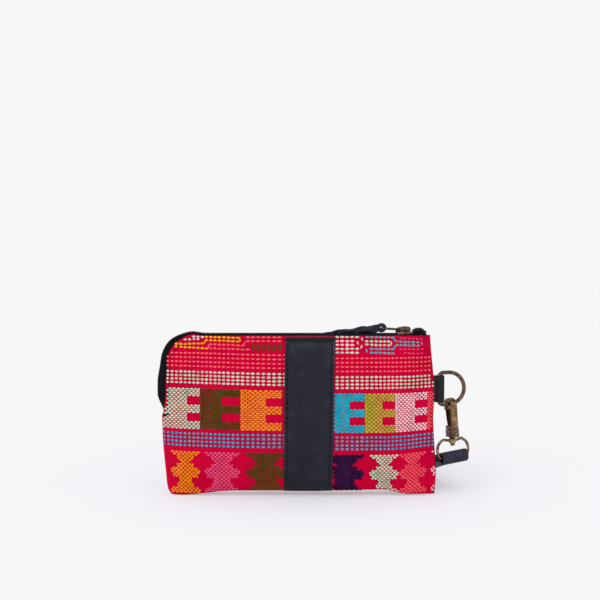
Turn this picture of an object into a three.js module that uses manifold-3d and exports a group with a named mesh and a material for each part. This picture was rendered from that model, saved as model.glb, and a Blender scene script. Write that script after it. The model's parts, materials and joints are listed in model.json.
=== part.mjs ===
// A woven zip wristlet: a slim zipped pouch of brocade cloth with a leather band down its front,
// a D-ring on a side tab, a swivel snap hook hung on it and a leather wrist strap.
// Millimetres, +Z up. The pouch stands on its two bottom corners and its front faces -Y.
import * as THREE from "three";
import { mergeVertices } from "three/addons/utils/BufferGeometryUtils.js";
import Module from "manifold-3d";

const wasm = await Module();
wasm.setup();

// Pouch
const POUCH_HEIGHT = 113;
const LEFT_EDGE = -94.4; // along the zip
const LEFT_BELLY = 1.8; // how much further the left seam stands out below the zip
const RIGHT_EDGE = 96.6;
const RIGHT_BELLY = 1.5;
const RIGHT_TOP_INSET = 3.3;
const RIGHT_WAIST = 0.7; // under the tab
const LEFT_FOOT_INSET = 3.0;
const LEFT_CORNER_INSET = 3.2; // more, right at the floor
const CORNER_RADIUS = 19.5; // round cloth corner that the zip follows
const HALF_DEPTH = 13; // at the fullest height
const FULLEST_HEIGHT = 38;
const FOOT_HALF_DEPTH = 7;
const BOTTOM_RISE = 3.6; // middle of the bottom above the corners
const LEFT_FOOT_X = -87; // the flat corners reach in to here
const RIGHT_FOOT_X = 80;
const LEFT_RISE_RUN = 42;
const RIGHT_RISE_RUN = 22;
const ZIP_HALF_OPENING = 6.2; // from the middle plane to the cloth's outer face
const SEAM_HALF_GAP = 0.15;
const CLOTH = 1.6;
const LINING = 0.6;
const CLEARANCE = 0.3;
const LINING_CLEARANCE = 1.1; // the lining hangs loose
const LINING_INSET = 5.3; // along the zip
const LINING_SIDE_INSET = 6;
const LINING_TOP_SIDE_INSET = 17;
const LINING_FOOT_INSET = 8;
const CLOTH_COLUMNS = 20;
const CLOTH_ROWS = 16;
const UNDERSIDE_SHARE = 2 / CLOTH_ROWS; // the share of the rows that lies under the pouch
const LINING_TOP_SHARE = 0.905;

// Zip
const TAPE = 0.7;
const TAPE_TURN_IN = 4.6; // how far the tape runs inside the cloth's edge
const TAPE_LEAST_RISE = 0.15; // beyond the cloth's edge, at the low end
const CHAIN_TOP = 2.0; // teeth above the cloth on the straight top
const CHAIN_SIDE = 5.0; // teeth beyond the cloth at the corner and the side
const TOOTH_PITCH = 4.5;
const TOOTH_HEIGHT = 1.9;
const TOOTH_NOTCH = 0.5;
const CHAIN_HALF_WIDTH = 2.9;
const CHAIN_HALF_GAP = 0.7; // the slider's post passes between the two rows
const ZIP_RIGHT_END = 79.8;
const ZIP_LOW_END = 61;
const ZIP_LOW_TAPER = 13; // the teeth sink in towards the low end
const ZIP_LUMP_HALF_LENGTH = 5.1;
const ZIP_LUMP_HEIGHT = 5.5;
const ZIP_LUMP_WIDTH = 3.0; // of each tape's end

// Slider and pull
const SLIDER_LENGTH = 10.2;
const SLIDER_HALF_WIDTH = 4.4;
const SLIDER_PLATE = 1.0;
const SLIDER_X = 74.3;
const BRIDGE_HEIGHT = 3.0;
const BRIDGE_WIDTH = 2.4;
const BRIDGE_THICKNESS = 0.8;
const LINK_WIRE = 0.55;
const LINK_HALF_LENGTH = 6.4;
const LINK_HALF_WIDTH = 2.5;
const LINK_LIFT_DEG = 4;
const THONG_EYE_RADIUS = 2.6;
const THONG_EYE_WIDTH = 3.0;

// Leather band
const BAND_CENTRE_X = 7.8;
const BAND_WIDTH = 35.5;
const BAND_THICKNESS = 1.3;
const BAND_FOOT_SHARE = 0.3; // of the underside, where the band enters the bottom seam
const BAND_TOP_SHARE = 0.985;

// Tab and D-ring
const BAR_X = 99.6;
const RING_HEIGHT_Z = 75.3;
const TAB_WIDTH = 19;
const TAB_LEATHER = 1.4;
const TAB_SLACK = 1.0; // the fold's end stands off the bar
const TAB_REACH_IN = 8;
const D_WIRE = 1.4;
const D_HALF_HEIGHT = 11.4;
const D_STRAIGHT = 7.7;
const D_TURN_DEG = 15;
const D_CORNER = 2.6;

// Snap hook and swivel
const HOOK_ALONG_D = 9.0;
const HOOK_TURN_DEG = 27;
const HOOK_TILT_DEG = 3.5;
const SPINE_WIDTH = 5.0;
const SPINE_THICKNESS = 1.9;
const EYE_RADIUS = 3.2;
const EYE_TOP = 2.6; // inside of the curl above the D-ring's wire centre
const NOSE_END = -6.2;
const COLLAR_TOP = -15.4;
const COLLAR_BOTTOM = -23.5;
const COLLAR_WIDTH = 6.6;
const CAVITY_WIDTH = 4.2;
const CAVITY_BOTTOM = -21.5;
const PIVOT_Y = 1.6;
const PIVOT_Z = -17.9;
const GATE_WIDTH = 3.6;
const GATE_THICKNESS = 1.2;
const GATE_TOP = -4.4;
const GATE_EAR = 1.8;
const PIN_RADIUS = 0.7;
const SPRING_WIRE = 0.22;
const SPRING_RADIUS = 1.25;
const SPRING_TURNS = 3;
const SPRING_WIDTH = 1.0;
const SPRING_ROOM = 1.7;
const SWIVEL_PIN_RADIUS = 1.1;
const SWIVEL_HEAD_RADIUS = 1.7;
const SWIVEL_Z = -26.0;
const SWIVEL_BALL = 2.6;
const SWIVEL_END = -29.8;
const SWIVEL_RING_TURN_DEG = 15;
const SWIVEL_WIRE = 1.0;
const SWIVEL_HALF_WIDTH = 11.6;
const SWIVEL_BAR_HALF = 8.4;
const SWIVEL_DROP = 12.0; // from the ball's centre to the lower bar

// Wrist strap
const STRAP_WIDTH = 19.4;
const STRAP_SHIFT = 0.4; // along the ring's bar, away from the pouch
const STRAP_LEATHER = 1.5;
const FOLD_RADIUS = 3.8; // middle of the leather round the swivel ring's bar
const STRAP_TURN_DEG = 20;
const STRAP_TILT_DEG = 7;
const STRAP_TILT_RUN = 42;
const STRAP_LOOP = 146;

const COLOURS = {
  cloth: [0xc5123f, 0.9, 0],
  lining: [0x2a2630, 0.85, 0],
  leather: [0x292935, 0.7, 0],
  tape: [0x1c1920, 0.85, 0],
  teeth: [0x18161b, 0.5, 0],
  brass: [0x7f6550, 0.4, 1],
  steel: [0x8c8c90, 0.4, 1],
};

const rad = THREE.MathUtils.degToRad;
const mix = THREE.MathUtils.lerp;
const smooth = THREE.MathUtils.smoothstep;
const at = (x, y, z) => new THREE.Vector3(x, y, z);

const assembly = new THREE.Group();

function addPiece(parent, name, geometry, look) {
  const [color, roughness, metalness] = COLOURS[look];
  const material = new THREE.MeshStandardMaterial({ color, roughness, metalness });
  const mesh = new THREE.Mesh(geometry, material);
  mesh.name = name;
  parent.add(mesh);
  return mesh;
}

// Solids for cutting and joining
function solidOf(geometry) {
  const bare = geometry.index ? geometry.toNonIndexed() : geometry.clone();
  bare.deleteAttribute("normal");
  bare.deleteAttribute("uv");
  const merged = mergeVertices(bare, 1e-4);
  const triVerts = new Uint32Array(merged.index.array);
  const vertProperties = merged.attributes.position.array;
  const solid = new wasm.Manifold(new wasm.Mesh({ numProp: 3, vertProperties, triVerts }));
  if (solid.volume() > 0) return solid;
  for (let i = 0; i < triVerts.length; i += 3) {
    [triVerts[i + 1], triVerts[i + 2]] = [triVerts[i + 2], triVerts[i + 1]];
  }
  return new wasm.Manifold(new wasm.Mesh({ numProp: 3, vertProperties, triVerts }));
}

function geometryOf(solid) {
  const mesh = solid.getMesh();
  const geometry = new THREE.BufferGeometry();
  geometry.setAttribute("position", new THREE.BufferAttribute(mesh.vertProperties, 3));
  geometry.setIndex(new THREE.BufferAttribute(mesh.triVerts, 1));
  return geometry;
}

const outwards = (geometry) => geometryOf(solidOf(geometry));

const cut = (body, ...tools) =>
  geometryOf(tools.reduce((left, tool) => left.subtract(solidOf(tool)), solidOf(body)));

const join = (...bodies) =>
  geometryOf(bodies.map(solidOf).reduce((whole, body) => whole.add(body)));

// A box moved so that its grid follows a surface, with its thickness to the inner side
function shellOn(surface, columns, rows, thickness, side, keepTo = -side) {
  const box = new THREE.BoxGeometry(1, 1, 1, columns, 1, rows);
  const spots = box.attributes.position;
  const step = 1e-3;
  const offEdge = (share) => THREE.MathUtils.clamp(share, 4 * step, 1 - 4 * step);
  for (let i = 0; i < spots.count; i += 1) {
    const u = spots.getX(i) + 0.5;
    const v = spots.getZ(i) + 0.5;
    const place = surface(u, v);
    if (spots.getY(i) > 0) {
      const [a, b] = [offEdge(u), offEdge(v)];
      const along = surface(a + step, b).sub(surface(a - step, b));
      const across = surface(a, b + step).sub(surface(a, b - step));
      const inward = along.cross(across).normalize().multiplyScalar(-side);
      place.addScaledVector(inward, thickness);
      if (Math.abs(place.y) < SEAM_HALF_GAP || place.y * keepTo < 0) place.y = keepTo * SEAM_HALF_GAP;
    }
    spots.setXYZ(i, place.x, place.y, place.z);
  }
  return outwards(box);
}

function extruded(shape, depth, curveSegments = 8) {
  const body = new THREE.ExtrudeGeometry(shape, { depth, bevelEnabled: false, curveSegments });
  return body.translate(0, 0, -depth / 2);
}

// A profile drawn in Y and Z, extruded along X
function alongX(shape, width, curveSegments) {
  return extruded(shape, width, curveSegments).rotateX(Math.PI / 2).rotateZ(Math.PI / 2);
}

// A profile drawn in X and Z, extruded along Y
function alongY(shape, width, curveSegments) {
  return extruded(shape, width, curveSegments).rotateX(Math.PI / 2);
}

function rodX(radius, length, y, z, sides = 16) {
  return new THREE.CylinderGeometry(radius, radius, length, sides)
    .rotateZ(Math.PI / 2)
    .translate(0, y, z);
}

// Outline of the pouch seen from the front
function leftEdge(z) {
  const belly = LEFT_BELLY * (1 - smooth(z, ZIP_LOW_END - 6, ZIP_LOW_END + 1));
  const foot = LEFT_FOOT_INSET * (1 - smooth(z, 0, 46)) + LEFT_CORNER_INSET * Math.exp(-z / 2.6);
  const cornerStart = POUCH_HEIGHT - CORNER_RADIUS;
  const up = Math.max(z - cornerStart, 0);
  const round = CORNER_RADIUS - Math.sqrt(Math.max(CORNER_RADIUS ** 2 - up ** 2, 0));
  return LEFT_EDGE - belly + foot + round;
}

function rightEdge(z) {
  const belly = RIGHT_BELLY * Math.exp(-(((z - 16) / 15) ** 2));
  const waist = RIGHT_WAIST * Math.exp(-(((z - 53) / 10) ** 2));
  return RIGHT_EDGE + belly - waist - RIGHT_TOP_INSET * smooth(z, 70, POUCH_HEIGHT + 5);
}

function bottomHeight(x) {
  const left = smooth(x, LEFT_FOOT_X, LEFT_FOOT_X + LEFT_RISE_RUN);
  return BOTTOM_RISE * left * (1 - smooth(x, RIGHT_FOOT_X - RIGHT_RISE_RUN, RIGHT_FOOT_X));
}

// Half depth of one side of the pouch at a share across (-1 to 1), a place x and a height z
function halfDepth(across, x, z, bottom) {
  const sideFullness = Math.sqrt(Math.max(1 - Math.abs(across) ** 4, 0));
  const footFullness = Math.sqrt(Math.max(1 - Math.abs(across) ** 8, 0));
  const leftZip = across < 0 ? smooth(z, ZIP_LOW_END - 13, ZIP_LOW_END - 2) : 0;
  const edge = mix(SEAM_HALF_GAP, ZIP_HALF_OPENING, leftZip);
  const shut = smooth(x, ZIP_RIGHT_END + 1, RIGHT_EDGE - 3);
  const topEdge = mix(ZIP_HALF_OPENING, CLOTH + SEAM_HALF_GAP, shut);
  const foot = edge + (FOOT_HALF_DEPTH - edge) * footFullness;
  if (z < FULLEST_HEIGHT) {
    const rise = Math.sin((Math.PI / 2) * ((z - bottom) / (FULLEST_HEIGHT - bottom)) ** 0.62);
    return foot + (edge + (HALF_DEPTH - edge) * sideFullness - foot) * rise;
  }
  const fall = Math.cos((Math.PI / 2) * ((z - FULLEST_HEIGHT) / (POUCH_HEIGHT - FULLEST_HEIGHT)) ** 1.25);
  const middle = topEdge + (HALF_DEPTH - topEdge) * fall;
  const zipFullness = Math.sqrt(Math.max(1 - Math.abs(across) ** 26, 0)) * smooth(z, 82, 107);
  return Math.max(edge + (middle - edge) * sideFullness, topEdge * zipFullness);
}

// How far up the pouch a share v of the rows is, with the rows closer together near the top
function climbOf(v) {
  const up = Math.max((v - UNDERSIDE_SHARE) / (1 - UNDERSIDE_SHARE), 0);
  return Math.sin((up * Math.PI) / 2) * 0.6 + up * 0.4;
}

// Outer face of one side at a place x and a share v of the way up: side is -1 for the front
function clothPoint(side, x, v) {
  const climb = climbOf(v);
  const level = POUCH_HEIGHT * climb;
  const [left, right] = [leftEdge(level), rightEdge(level)];
  const across = THREE.MathUtils.clamp(((x - left) / (right - left)) * 2 - 1, -1, 1);
  const bottom = bottomHeight(x);
  const z = mix(bottom, POUCH_HEIGHT, climb);
  const depth = Math.max(halfDepth(across, x, z, bottom), SEAM_HALF_GAP);
  const under = v < UNDERSIDE_SHARE ? v / UNDERSIDE_SHARE : 1;
  return at(x, side * mix(SEAM_HALF_GAP, depth, under), z);
}

function clothFace(side) {
  return (u, v) => {
    const level = POUCH_HEIGHT * climbOf(v);
    const share = (Math.sin((u * 2 - 1) * 1.25) / Math.sin(1.25) + 1) / 2;
    return clothPoint(side, mix(leftEdge(level), rightEdge(level), share), v);
  };
}

// A point off the cloth, outwards by a distance
function offCloth(side, x, v, distance) {
  const step = 1e-3;
  const place = clothPoint(side, x, v);
  const along = clothPoint(side, x + step * 100, v).sub(clothPoint(side, x - step * 100, v));
  const up = clothPoint(side, x, v + step).sub(clothPoint(side, x, v - step));
  return place.addScaledVector(along.cross(up).normalize(), -side * distance);
}

// The lining hangs inside the cloth, from the zip tape's inner edge down
function liningFace(side) {
  const round = CORNER_RADIUS - LINING_INSET;
  return (u, v) => {
    const row = mix(UNDERSIDE_SHARE * 0.25, LINING_TOP_SHARE, v);
    const level = POUCH_HEIGHT * climbOf(row);
    const up = Math.max(level - (POUCH_HEIGHT - CORNER_RADIUS), 0);
    const foot = LINING_FOOT_INSET * (1 - smooth(level, 0, 24));
    const left = leftEdge(Math.min(level, POUCH_HEIGHT - CORNER_RADIUS)) + LINING_INSET + foot;
    const bend = round - Math.sqrt(Math.max(round ** 2 - up ** 2, 0));
    const sideInset = mix(LINING_SIDE_INSET, LINING_TOP_SIDE_INSET, smooth(level, 70, POUCH_HEIGHT));
    const x = mix(left + bend, rightEdge(level) - sideInset - foot, u);
    return offCloth(side, x, row, -(CLOTH + LINING_CLEARANCE));
  };
}

// Path of the zip along the cloth's edge: s runs from 0 at the right end to 1 at the low end
const cornerCentre = { x: LEFT_EDGE + CORNER_RADIUS, z: POUCH_HEIGHT - CORNER_RADIUS };
const topRun = ZIP_RIGHT_END - cornerCentre.x;
const cornerRun = (Math.PI / 2) * CORNER_RADIUS;
const sideRun = cornerCentre.z - ZIP_LOW_END;
const zipRun = topRun + cornerRun + sideRun;

function zipPlace(s) {
  const run = s * zipRun;
  if (run < topRun) {
    return { x: ZIP_RIGHT_END - run, z: POUCH_HEIGHT, nx: 0, nz: 1, stand: CHAIN_TOP };
  }
  if (run < topRun + cornerRun) {
    const turn = (run - topRun) / CORNER_RADIUS;
    const nx = -Math.sin(turn);
    const nz = Math.cos(turn);
    const stand = mix(CHAIN_TOP, CHAIN_SIDE, smooth(turn, 0, 1));
    const { x, z } = cornerCentre;
    return { x: x + nx * CORNER_RADIUS, z: z + nz * CORNER_RADIUS, nx, nz, stand };
  }
  const z = cornerCentre.z - (run - topRun - cornerRun);
  const stand = mix(0.6, CHAIN_SIDE, smooth(z, ZIP_LOW_END - 2, ZIP_LOW_END - 2 + ZIP_LOW_TAPER));
  return { x: LEFT_EDGE, z, nx: -1, nz: 0, stand };
}

// A point by the zip: out is away from the cloth's edge, y across the opening
function besideZip(s, out, y) {
  const place = zipPlace(s);
  return at(place.x + place.nx * out, y, place.z + place.nz * out);
}

function zipTape(side) {
  const inner = ZIP_HALF_OPENING - CLOTH - CLEARANCE;
  const nearTeeth = CHAIN_HALF_WIDTH + TAPE + CLEARANCE * 0.7;
  const face = (u, v) => {
    const rise = Math.max(zipPlace(u).stand - TOOTH_HEIGHT * 0.75, TAPE_LEAST_RISE);
    if (v < 0.66) return besideZip(u, mix(-TAPE_TURN_IN, 0, v / 0.66), side * inner);
    const share = (v - 0.66) / 0.34;
    return besideZip(u, mix(0, rise, share), side * mix(inner, nearTeeth, share));
  };
  return shellOn(face, 30, 3, TAPE, side, side);
}

// One row of zip teeth as a toothed bar
function zipTeeth(side) {
  const teeth = Math.round(zipRun / TOOTH_PITCH);
  const bar = new THREE.BoxGeometry(1, 1, 1, teeth * 2, 1, 1);
  const spots = bar.attributes.position;
  for (let i = 0; i < spots.count; i += 1) {
    const s = spots.getX(i) + 0.5;
    const stand = zipPlace(s).stand;
    const notch = Math.round(s * teeth * 2) % 2 === 0 ? TOOTH_NOTCH : 0;
    const out = spots.getZ(i) > 0 ? stand - notch : stand - TOOTH_HEIGHT;
    const y = spots.getY(i) > 0 ? CHAIN_HALF_WIDTH : CHAIN_HALF_GAP;
    const place = besideZip(s, out, side * y);
    spots.setXYZ(i, place.x, place.y, place.z);
  }
  return outwards(bar);
}

// The tape's end, folded over into a lump beyond the slider
function zipEnd(side) {
  const lump = new THREE.Shape();
  lump.absellipse(0, 0, ZIP_LUMP_HALF_LENGTH, ZIP_LUMP_HEIGHT, 0, Math.PI, false);
  const x = ZIP_RIGHT_END + CLEARANCE + ZIP_LUMP_HALF_LENGTH;
  const y = side * (CLEARANCE + ZIP_LUMP_WIDTH / 2);
  return outwards(alongY(lump, ZIP_LUMP_WIDTH, 14).translate(x, y, POUCH_HEIGHT + CLEARANCE));
}

function zipBottomStop() {
  const end = zipPlace(1);
  const width = CHAIN_HALF_WIDTH * 2;
  return new THREE.BoxGeometry(TOOTH_HEIGHT, width, 2.2).translate(
    end.x + end.nx * (end.stand - TOOTH_HEIGHT / 2),
    0,
    end.z - 1.1 - CLEARANCE,
  );
}

// Slider, bridge, link and thong
const sliderPlateBottom = POUCH_HEIGHT + CHAIN_TOP + CLEARANCE;
const sliderPlateTop = sliderPlateBottom + SLIDER_PLATE;

function sliderBody() {
  const half = SLIDER_LENGTH / 2;
  const wide = SLIDER_HALF_WIDTH;
  const shield = new THREE.Shape();
  shield.moveTo(-half, -wide * 0.82);
  shield.quadraticCurveTo(-half * 0.2, -wide * 0.84, half * 0.5, -wide);
  shield.quadraticCurveTo(half, -wide, half, -wide * 0.3);
  shield.lineTo(half, wide * 0.3);
  shield.quadraticCurveTo(half, wide, half * 0.5, wide);
  shield.quadraticCurveTo(-half * 0.2, wide * 0.84, -half, wide * 0.82);
  const plate = extruded(shield, SLIDER_PLATE, 5);
  plate.translate(0, 0, (sliderPlateBottom + sliderPlateTop) / 2);
  const flangeDrop = 1.2;
  const flangeWall = 0.8;
  const flanges = [-1, 1].map((side) =>
    new THREE.BoxGeometry(SLIDER_LENGTH * 0.86, flangeWall, flangeDrop).translate(
      0,
      side * (CHAIN_HALF_WIDTH + CLEARANCE + flangeWall / 2),
      sliderPlateBottom + 0.1 - flangeDrop / 2,
    ),
  );
  const postTop = sliderPlateBottom + 0.1;
  const lowerTop = POUCH_HEIGHT + CHAIN_TOP - TOOTH_HEIGHT - CLEARANCE;
  const lowerPlate = 1.0;
  const postThickness = (CHAIN_HALF_GAP - CLEARANCE) * 2;
  const post = new THREE.BoxGeometry(3, postThickness, postTop - lowerTop + 0.2);
  post.translate(1.2, 0, (postTop + lowerTop - 0.1) / 2);
  const lower = new THREE.BoxGeometry(SLIDER_LENGTH * 0.9, 5.0, lowerPlate);
  lower.translate(0, 0, lowerTop - lowerPlate / 2);
  return join(plate, ...flanges, post, lower).translate(SLIDER_X, 0, 0);
}

function sliderBridge() {
  const half = SLIDER_LENGTH / 2 - 0.6;
  const top = BRIDGE_HEIGHT;
  const wall = BRIDGE_THICKNESS;
  const arch = new THREE.Shape();
  arch.moveTo(-half, 0);
  arch.bezierCurveTo(-half, top * 1.1, -half * 0.5, top, 0, top);
  arch.bezierCurveTo(half * 0.5, top, half, top * 1.1, half, 0);
  arch.lineTo(half - wall, 0);
  arch.bezierCurveTo(half - wall, top * 0.8, half * 0.5, top - wall, 0, top - wall);
  arch.bezierCurveTo(-half * 0.5, top - wall, wall - half, top * 0.8, wall - half, 0);
  const bridge = alongY(arch, BRIDGE_WIDTH, 6);
  return outwards(bridge.translate(SLIDER_X, 0, sliderPlateTop + CLEARANCE));
}

class OvalPath extends THREE.Curve {
  constructor(halfX, halfY, square) {
    super();
    Object.assign(this, { halfX, halfY, square });
  }
  getPoint(t, target = at(0, 0, 0)) {
    const angle = t * Math.PI * 2;
    const bend = (value) => Math.sign(value) * Math.abs(value) ** this.square;
    return target.set(this.halfX * bend(Math.cos(angle)), this.halfY * bend(Math.sin(angle)), 0);
  }
}

const linkPivot = at(
  SLIDER_X - SLIDER_LENGTH / 2 + 0.6 + BRIDGE_THICKNESS + LINK_WIRE + CLEARANCE + 0.2,
  0,
  sliderPlateTop + CLEARANCE + 0.9,
);

function pullLink() {
  const path = new OvalPath(LINK_HALF_LENGTH, LINK_HALF_WIDTH, 0.55);
  const ring = new THREE.TubeGeometry(path, 28, LINK_WIRE, 6, true);
  return outwards(ring.translate(-LINK_HALF_LENGTH, 0, 0));
}

function pullThong() {
  const eye = new THREE.CylinderGeometry(THONG_EYE_RADIUS, THONG_EYE_RADIUS, THONG_EYE_WIDTH, 16);
  const boreRadius = LINK_WIRE + CLEARANCE * 1.6;
  const bore = new THREE.CylinderGeometry(boreRadius, boreRadius, 9, 12);
  const lobes = [
    { x: -10.0, half: 9.0, wide: 2.8, high: 2.5, drop: 0.6 },
    { x: -23.6, half: 9.0, wide: 2.7, high: 1.5, drop: 1.6 },
    { x: -34.0, half: 7.4, wide: 2.3, high: 0.9, drop: 2.2 },
  ].map(({ x, half, wide, high, drop }) =>
    new THREE.SphereGeometry(1, 10, 8).scale(high, wide, half).rotateY(Math.PI / 2).translate(x, 0, -drop),
  );
  return cut(join(eye, ...lobes), bore);
}

// Leather band on the front, from under the top edge down to the bottom seam
function leatherBand() {
  const firstRow = 1 / CLOTH_ROWS;
  const lastRow = 1 - firstRow;
  const rowOf = (v) => {
    if (v < firstRow) return mix(UNDERSIDE_SHARE * BAND_FOOT_SHARE, firstRow, v / firstRow);
    return v > lastRow ? mix(lastRow, BAND_TOP_SHARE, (v - lastRow) / firstRow) : v;
  };
  const face = (u, v) => {
    const x = BAND_CENTRE_X + (u - 0.5) * BAND_WIDTH;
    return offCloth(-1, x, rowOf(v), CLEARANCE + BAND_THICKNESS);
  };
  return shellOn(face, 3, CLOTH_ROWS, BAND_THICKNESS, 1);
}

// Side tab, folded round the D-ring's bar
function sideTab(clearance = 0) {
  const inner = D_WIRE + CLEARANCE - clearance;
  const outer = D_WIRE + CLEARANCE + TAB_LEATHER + clearance;
  const rootHalf = TAB_LEATHER + clearance;
  const left = RIGHT_EDGE - TAB_REACH_IN - clearance;
  const outline = new THREE.Shape();
  outline.moveTo(left, -rootHalf);
  outline.lineTo(BAR_X - outer - 1.5, -rootHalf);
  outline.quadraticCurveTo(BAR_X - outer * 0.8, -rootHalf, BAR_X - outer * 0.5, -outer * 0.87);
  outline.absarc(BAR_X + TAB_SLACK, 0, outer, -Math.PI * 0.66, Math.PI * 0.66, false);
  outline.quadraticCurveTo(BAR_X - outer * 0.8, rootHalf, BAR_X - outer - 1.5, rootHalf);
  outline.lineTo(left, rootHalf);
  if (clearance === 0) {
    const hole = new THREE.Path();
    hole.absarc(BAR_X, 0, inner, -Math.PI / 2, Math.PI / 2, true);
    hole.absarc(BAR_X + TAB_SLACK, 0, inner, Math.PI / 2, -Math.PI / 2, true);
    outline.holes.push(hole);
  }
  return extruded(outline, TAB_WIDTH + clearance * 2, 12).translate(0, 0, RING_HEIGHT_Z);
}

// D-ring, drawn in X and Z from its bar
class DRingPath extends THREE.Curve {
  getPoint(t, target = at(0, 0, 0)) {
    const half = D_HALF_HEIGHT;
    const corner = D_CORNER;
    const runs = [
      { length: (half - corner) * 2, place: (d) => [0, half - corner - d] },
      {
        length: (corner * Math.PI) / 2,
        place: (d) => [corner - corner * Math.cos(d / corner), corner - half - corner * Math.sin(d / corner)],
      },
      { length: D_STRAIGHT - corner, place: (d) => [corner + d, -half] },
      {
        length: half * Math.PI,
        place: (d) => [D_STRAIGHT + half * Math.sin(d / half), -half * Math.cos(d / half)],
      },
      { length: D_STRAIGHT - corner, place: (d) => [D_STRAIGHT - d, half] },
      {
        length: (corner * Math.PI) / 2,
        place: (d) => [corner - corner * Math.sin(d / corner), half - corner + corner * Math.cos(d / corner)],
      },
    ];
    const total = runs.reduce((sum, run) => sum + run.length, 0);
    let left = (t === 1 ? 0 : t) * total;
    for (const run of runs) {
      if (left <= run.length) {
        const [x, z] = run.place(left);
        return target.set(x, 0, z);
      }
      left -= run.length;
    }
    return target.set(0, 0, half - corner);
  }
}

// Hook, in its own frame: origin at the D-ring's wire, X across the spine, Y from spine to gate
const eyeCentreZ = EYE_TOP - EYE_RADIUS;
const curlRadius = EYE_RADIUS + SPINE_THICKNESS;

function hookBody() {
  const side = new THREE.Shape();
  side.moveTo(-curlRadius, COLLAR_TOP - 1);
  side.lineTo(-curlRadius, eyeCentreZ);
  side.absarc(0, eyeCentreZ, curlRadius, Math.PI, 0, true);
  side.lineTo(curlRadius - 0.4, NOSE_END);
  side.lineTo(EYE_RADIUS, NOSE_END);
  side.lineTo(EYE_RADIUS, eyeCentreZ);
  side.absarc(0, eyeCentreZ, EYE_RADIUS, 0, Math.PI, false);
  side.lineTo(-EYE_RADIUS, COLLAR_TOP - 1);
  const strip = alongX(side, SPINE_WIDTH, 10);
  const collarHeight = COLLAR_TOP - COLLAR_BOTTOM;
  const collarShape = new THREE.Shape();
  const halfWide = COLLAR_WIDTH / 2;
  const back = -curlRadius - 0.3;
  const front = EYE_RADIUS + 1.4;
  const bevel = 1.2;
  collarShape.moveTo(-halfWide + bevel, back);
  collarShape.lineTo(halfWide - bevel, back);
  collarShape.lineTo(halfWide, back + bevel);
  collarShape.lineTo(halfWide, front - bevel);
  collarShape.lineTo(halfWide - bevel, front);
  collarShape.lineTo(-halfWide + bevel, front);
  collarShape.lineTo(-halfWide, front - bevel);
  collarShape.lineTo(-halfWide, back + bevel);
  const collar = extruded(collarShape, collarHeight).translate(0, 0, (COLLAR_TOP + COLLAR_BOTTOM) / 2);
  const cavityDepth = front + 2.2 + 1;
  const cavity = new THREE.BoxGeometry(CAVITY_WIDTH, cavityDepth, 8).translate(
    0,
    cavityDepth / 2 - 2.2,
    CAVITY_BOTTOM + 4,
  );
  const pinBore = rodX(PIN_RADIUS + CLEARANCE, COLLAR_WIDTH + 2, PIVOT_Y, PIVOT_Z);
  const shaftBore = new THREE.CylinderGeometry(
    SWIVEL_PIN_RADIUS + CLEARANCE,
    SWIVEL_PIN_RADIUS + CLEARANCE,
    8,
    16,
  );
  shaftBore.rotateX(Math.PI / 2).translate(0, 0, COLLAR_BOTTOM);
  return cut(join(strip, collar), cavity, pinBore, shaftBore);
}

function hookGate() {
  const outer = EYE_RADIUS - CLEARANCE;
  const inner = outer - GATE_THICKNESS;
  const side = new THREE.Shape();
  side.moveTo(outer, GATE_TOP);
  side.lineTo(inner, GATE_TOP);
  side.lineTo(inner - 0.3, PIVOT_Z + GATE_EAR);
  side.absarc(PIVOT_Y, PIVOT_Z, GATE_EAR, Math.PI * 0.75, Math.PI * 2.1, false);
  side.lineTo(outer + 0.2, PIVOT_Z + GATE_EAR);
  const plate = alongX(side, GATE_WIDTH, 10);
  const bore = rodX(PIN_RADIUS + CLEARANCE, COLLAR_WIDTH, PIVOT_Y, PIVOT_Z);
  const springRoom = rodX(GATE_EAR + 0.3, SPRING_ROOM, PIVOT_Y, PIVOT_Z);
  return cut(plate, bore, springRoom);
}

class SpringPath extends THREE.Curve {
  getPoint(t, target = at(0, 0, 0)) {
    const turn = t * SPRING_TURNS * Math.PI * 2;
    return target.set(
      (t - 0.5) * SPRING_WIDTH,
      PIVOT_Y + SPRING_RADIUS * Math.sin(turn),
      PIVOT_Z + SPRING_RADIUS * Math.cos(turn),
    );
  }
}

function gateSpring() {
  const wire = new THREE.Shape().absarc(0, 0, SPRING_WIRE, 0, Math.PI * 2);
  return outwards(
    new THREE.ExtrudeGeometry(wire, {
      extrudePath: new SpringPath(),
      steps: SPRING_TURNS * 8,
      curveSegments: 2,
      bevelEnabled: false,
    }),
  );
}

function swivelPin() {
  const headTop = CAVITY_BOTTOM + CLEARANCE + 0.6;
  const profile = [
    [0, SWIVEL_END],
    [1.5, SWIVEL_END],
    [1.8, SWIVEL_END + 0.4],
    [1.5, SWIVEL_END + 0.9],
    [SWIVEL_PIN_RADIUS, SWIVEL_END + 1],
    [SWIVEL_PIN_RADIUS, CAVITY_BOTTOM + CLEARANCE],
    [SWIVEL_HEAD_RADIUS, CAVITY_BOTTOM + CLEARANCE],
    [SWIVEL_HEAD_RADIUS, headTop],
    [0, headTop],
  ].map(([radius, z]) => new THREE.Vector2(radius, z));
  return outwards(new THREE.LatheGeometry(profile, 16).rotateX(Math.PI / 2));
}

// Swivel ring: flat lower bar, round sides, arms meeting at the ball
class SwivelRingPath extends THREE.CatmullRomCurve3 {
  constructor() {
    const wide = SWIVEL_HALF_WIDTH;
    const low = -SWIVEL_DROP;
    const right = [
      [SWIVEL_BAR_HALF, low],
      [wide - 0.9, low + 1.7],
      [wide, low + 5.6],
      [wide - 1.2, low + 9.9],
      [wide - 4.6, low + 12.8],
      [4.2, 0.3],
    ];
    const left = right.map(([x, z]) => [-x, z]).reverse();
    const spots = [[0, low], ...right, [0, 0], ...left];
    super(
      spots.map(([x, z]) => at(x, 0, z)),
      true,
      "centripetal",
    );
  }
}

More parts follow.
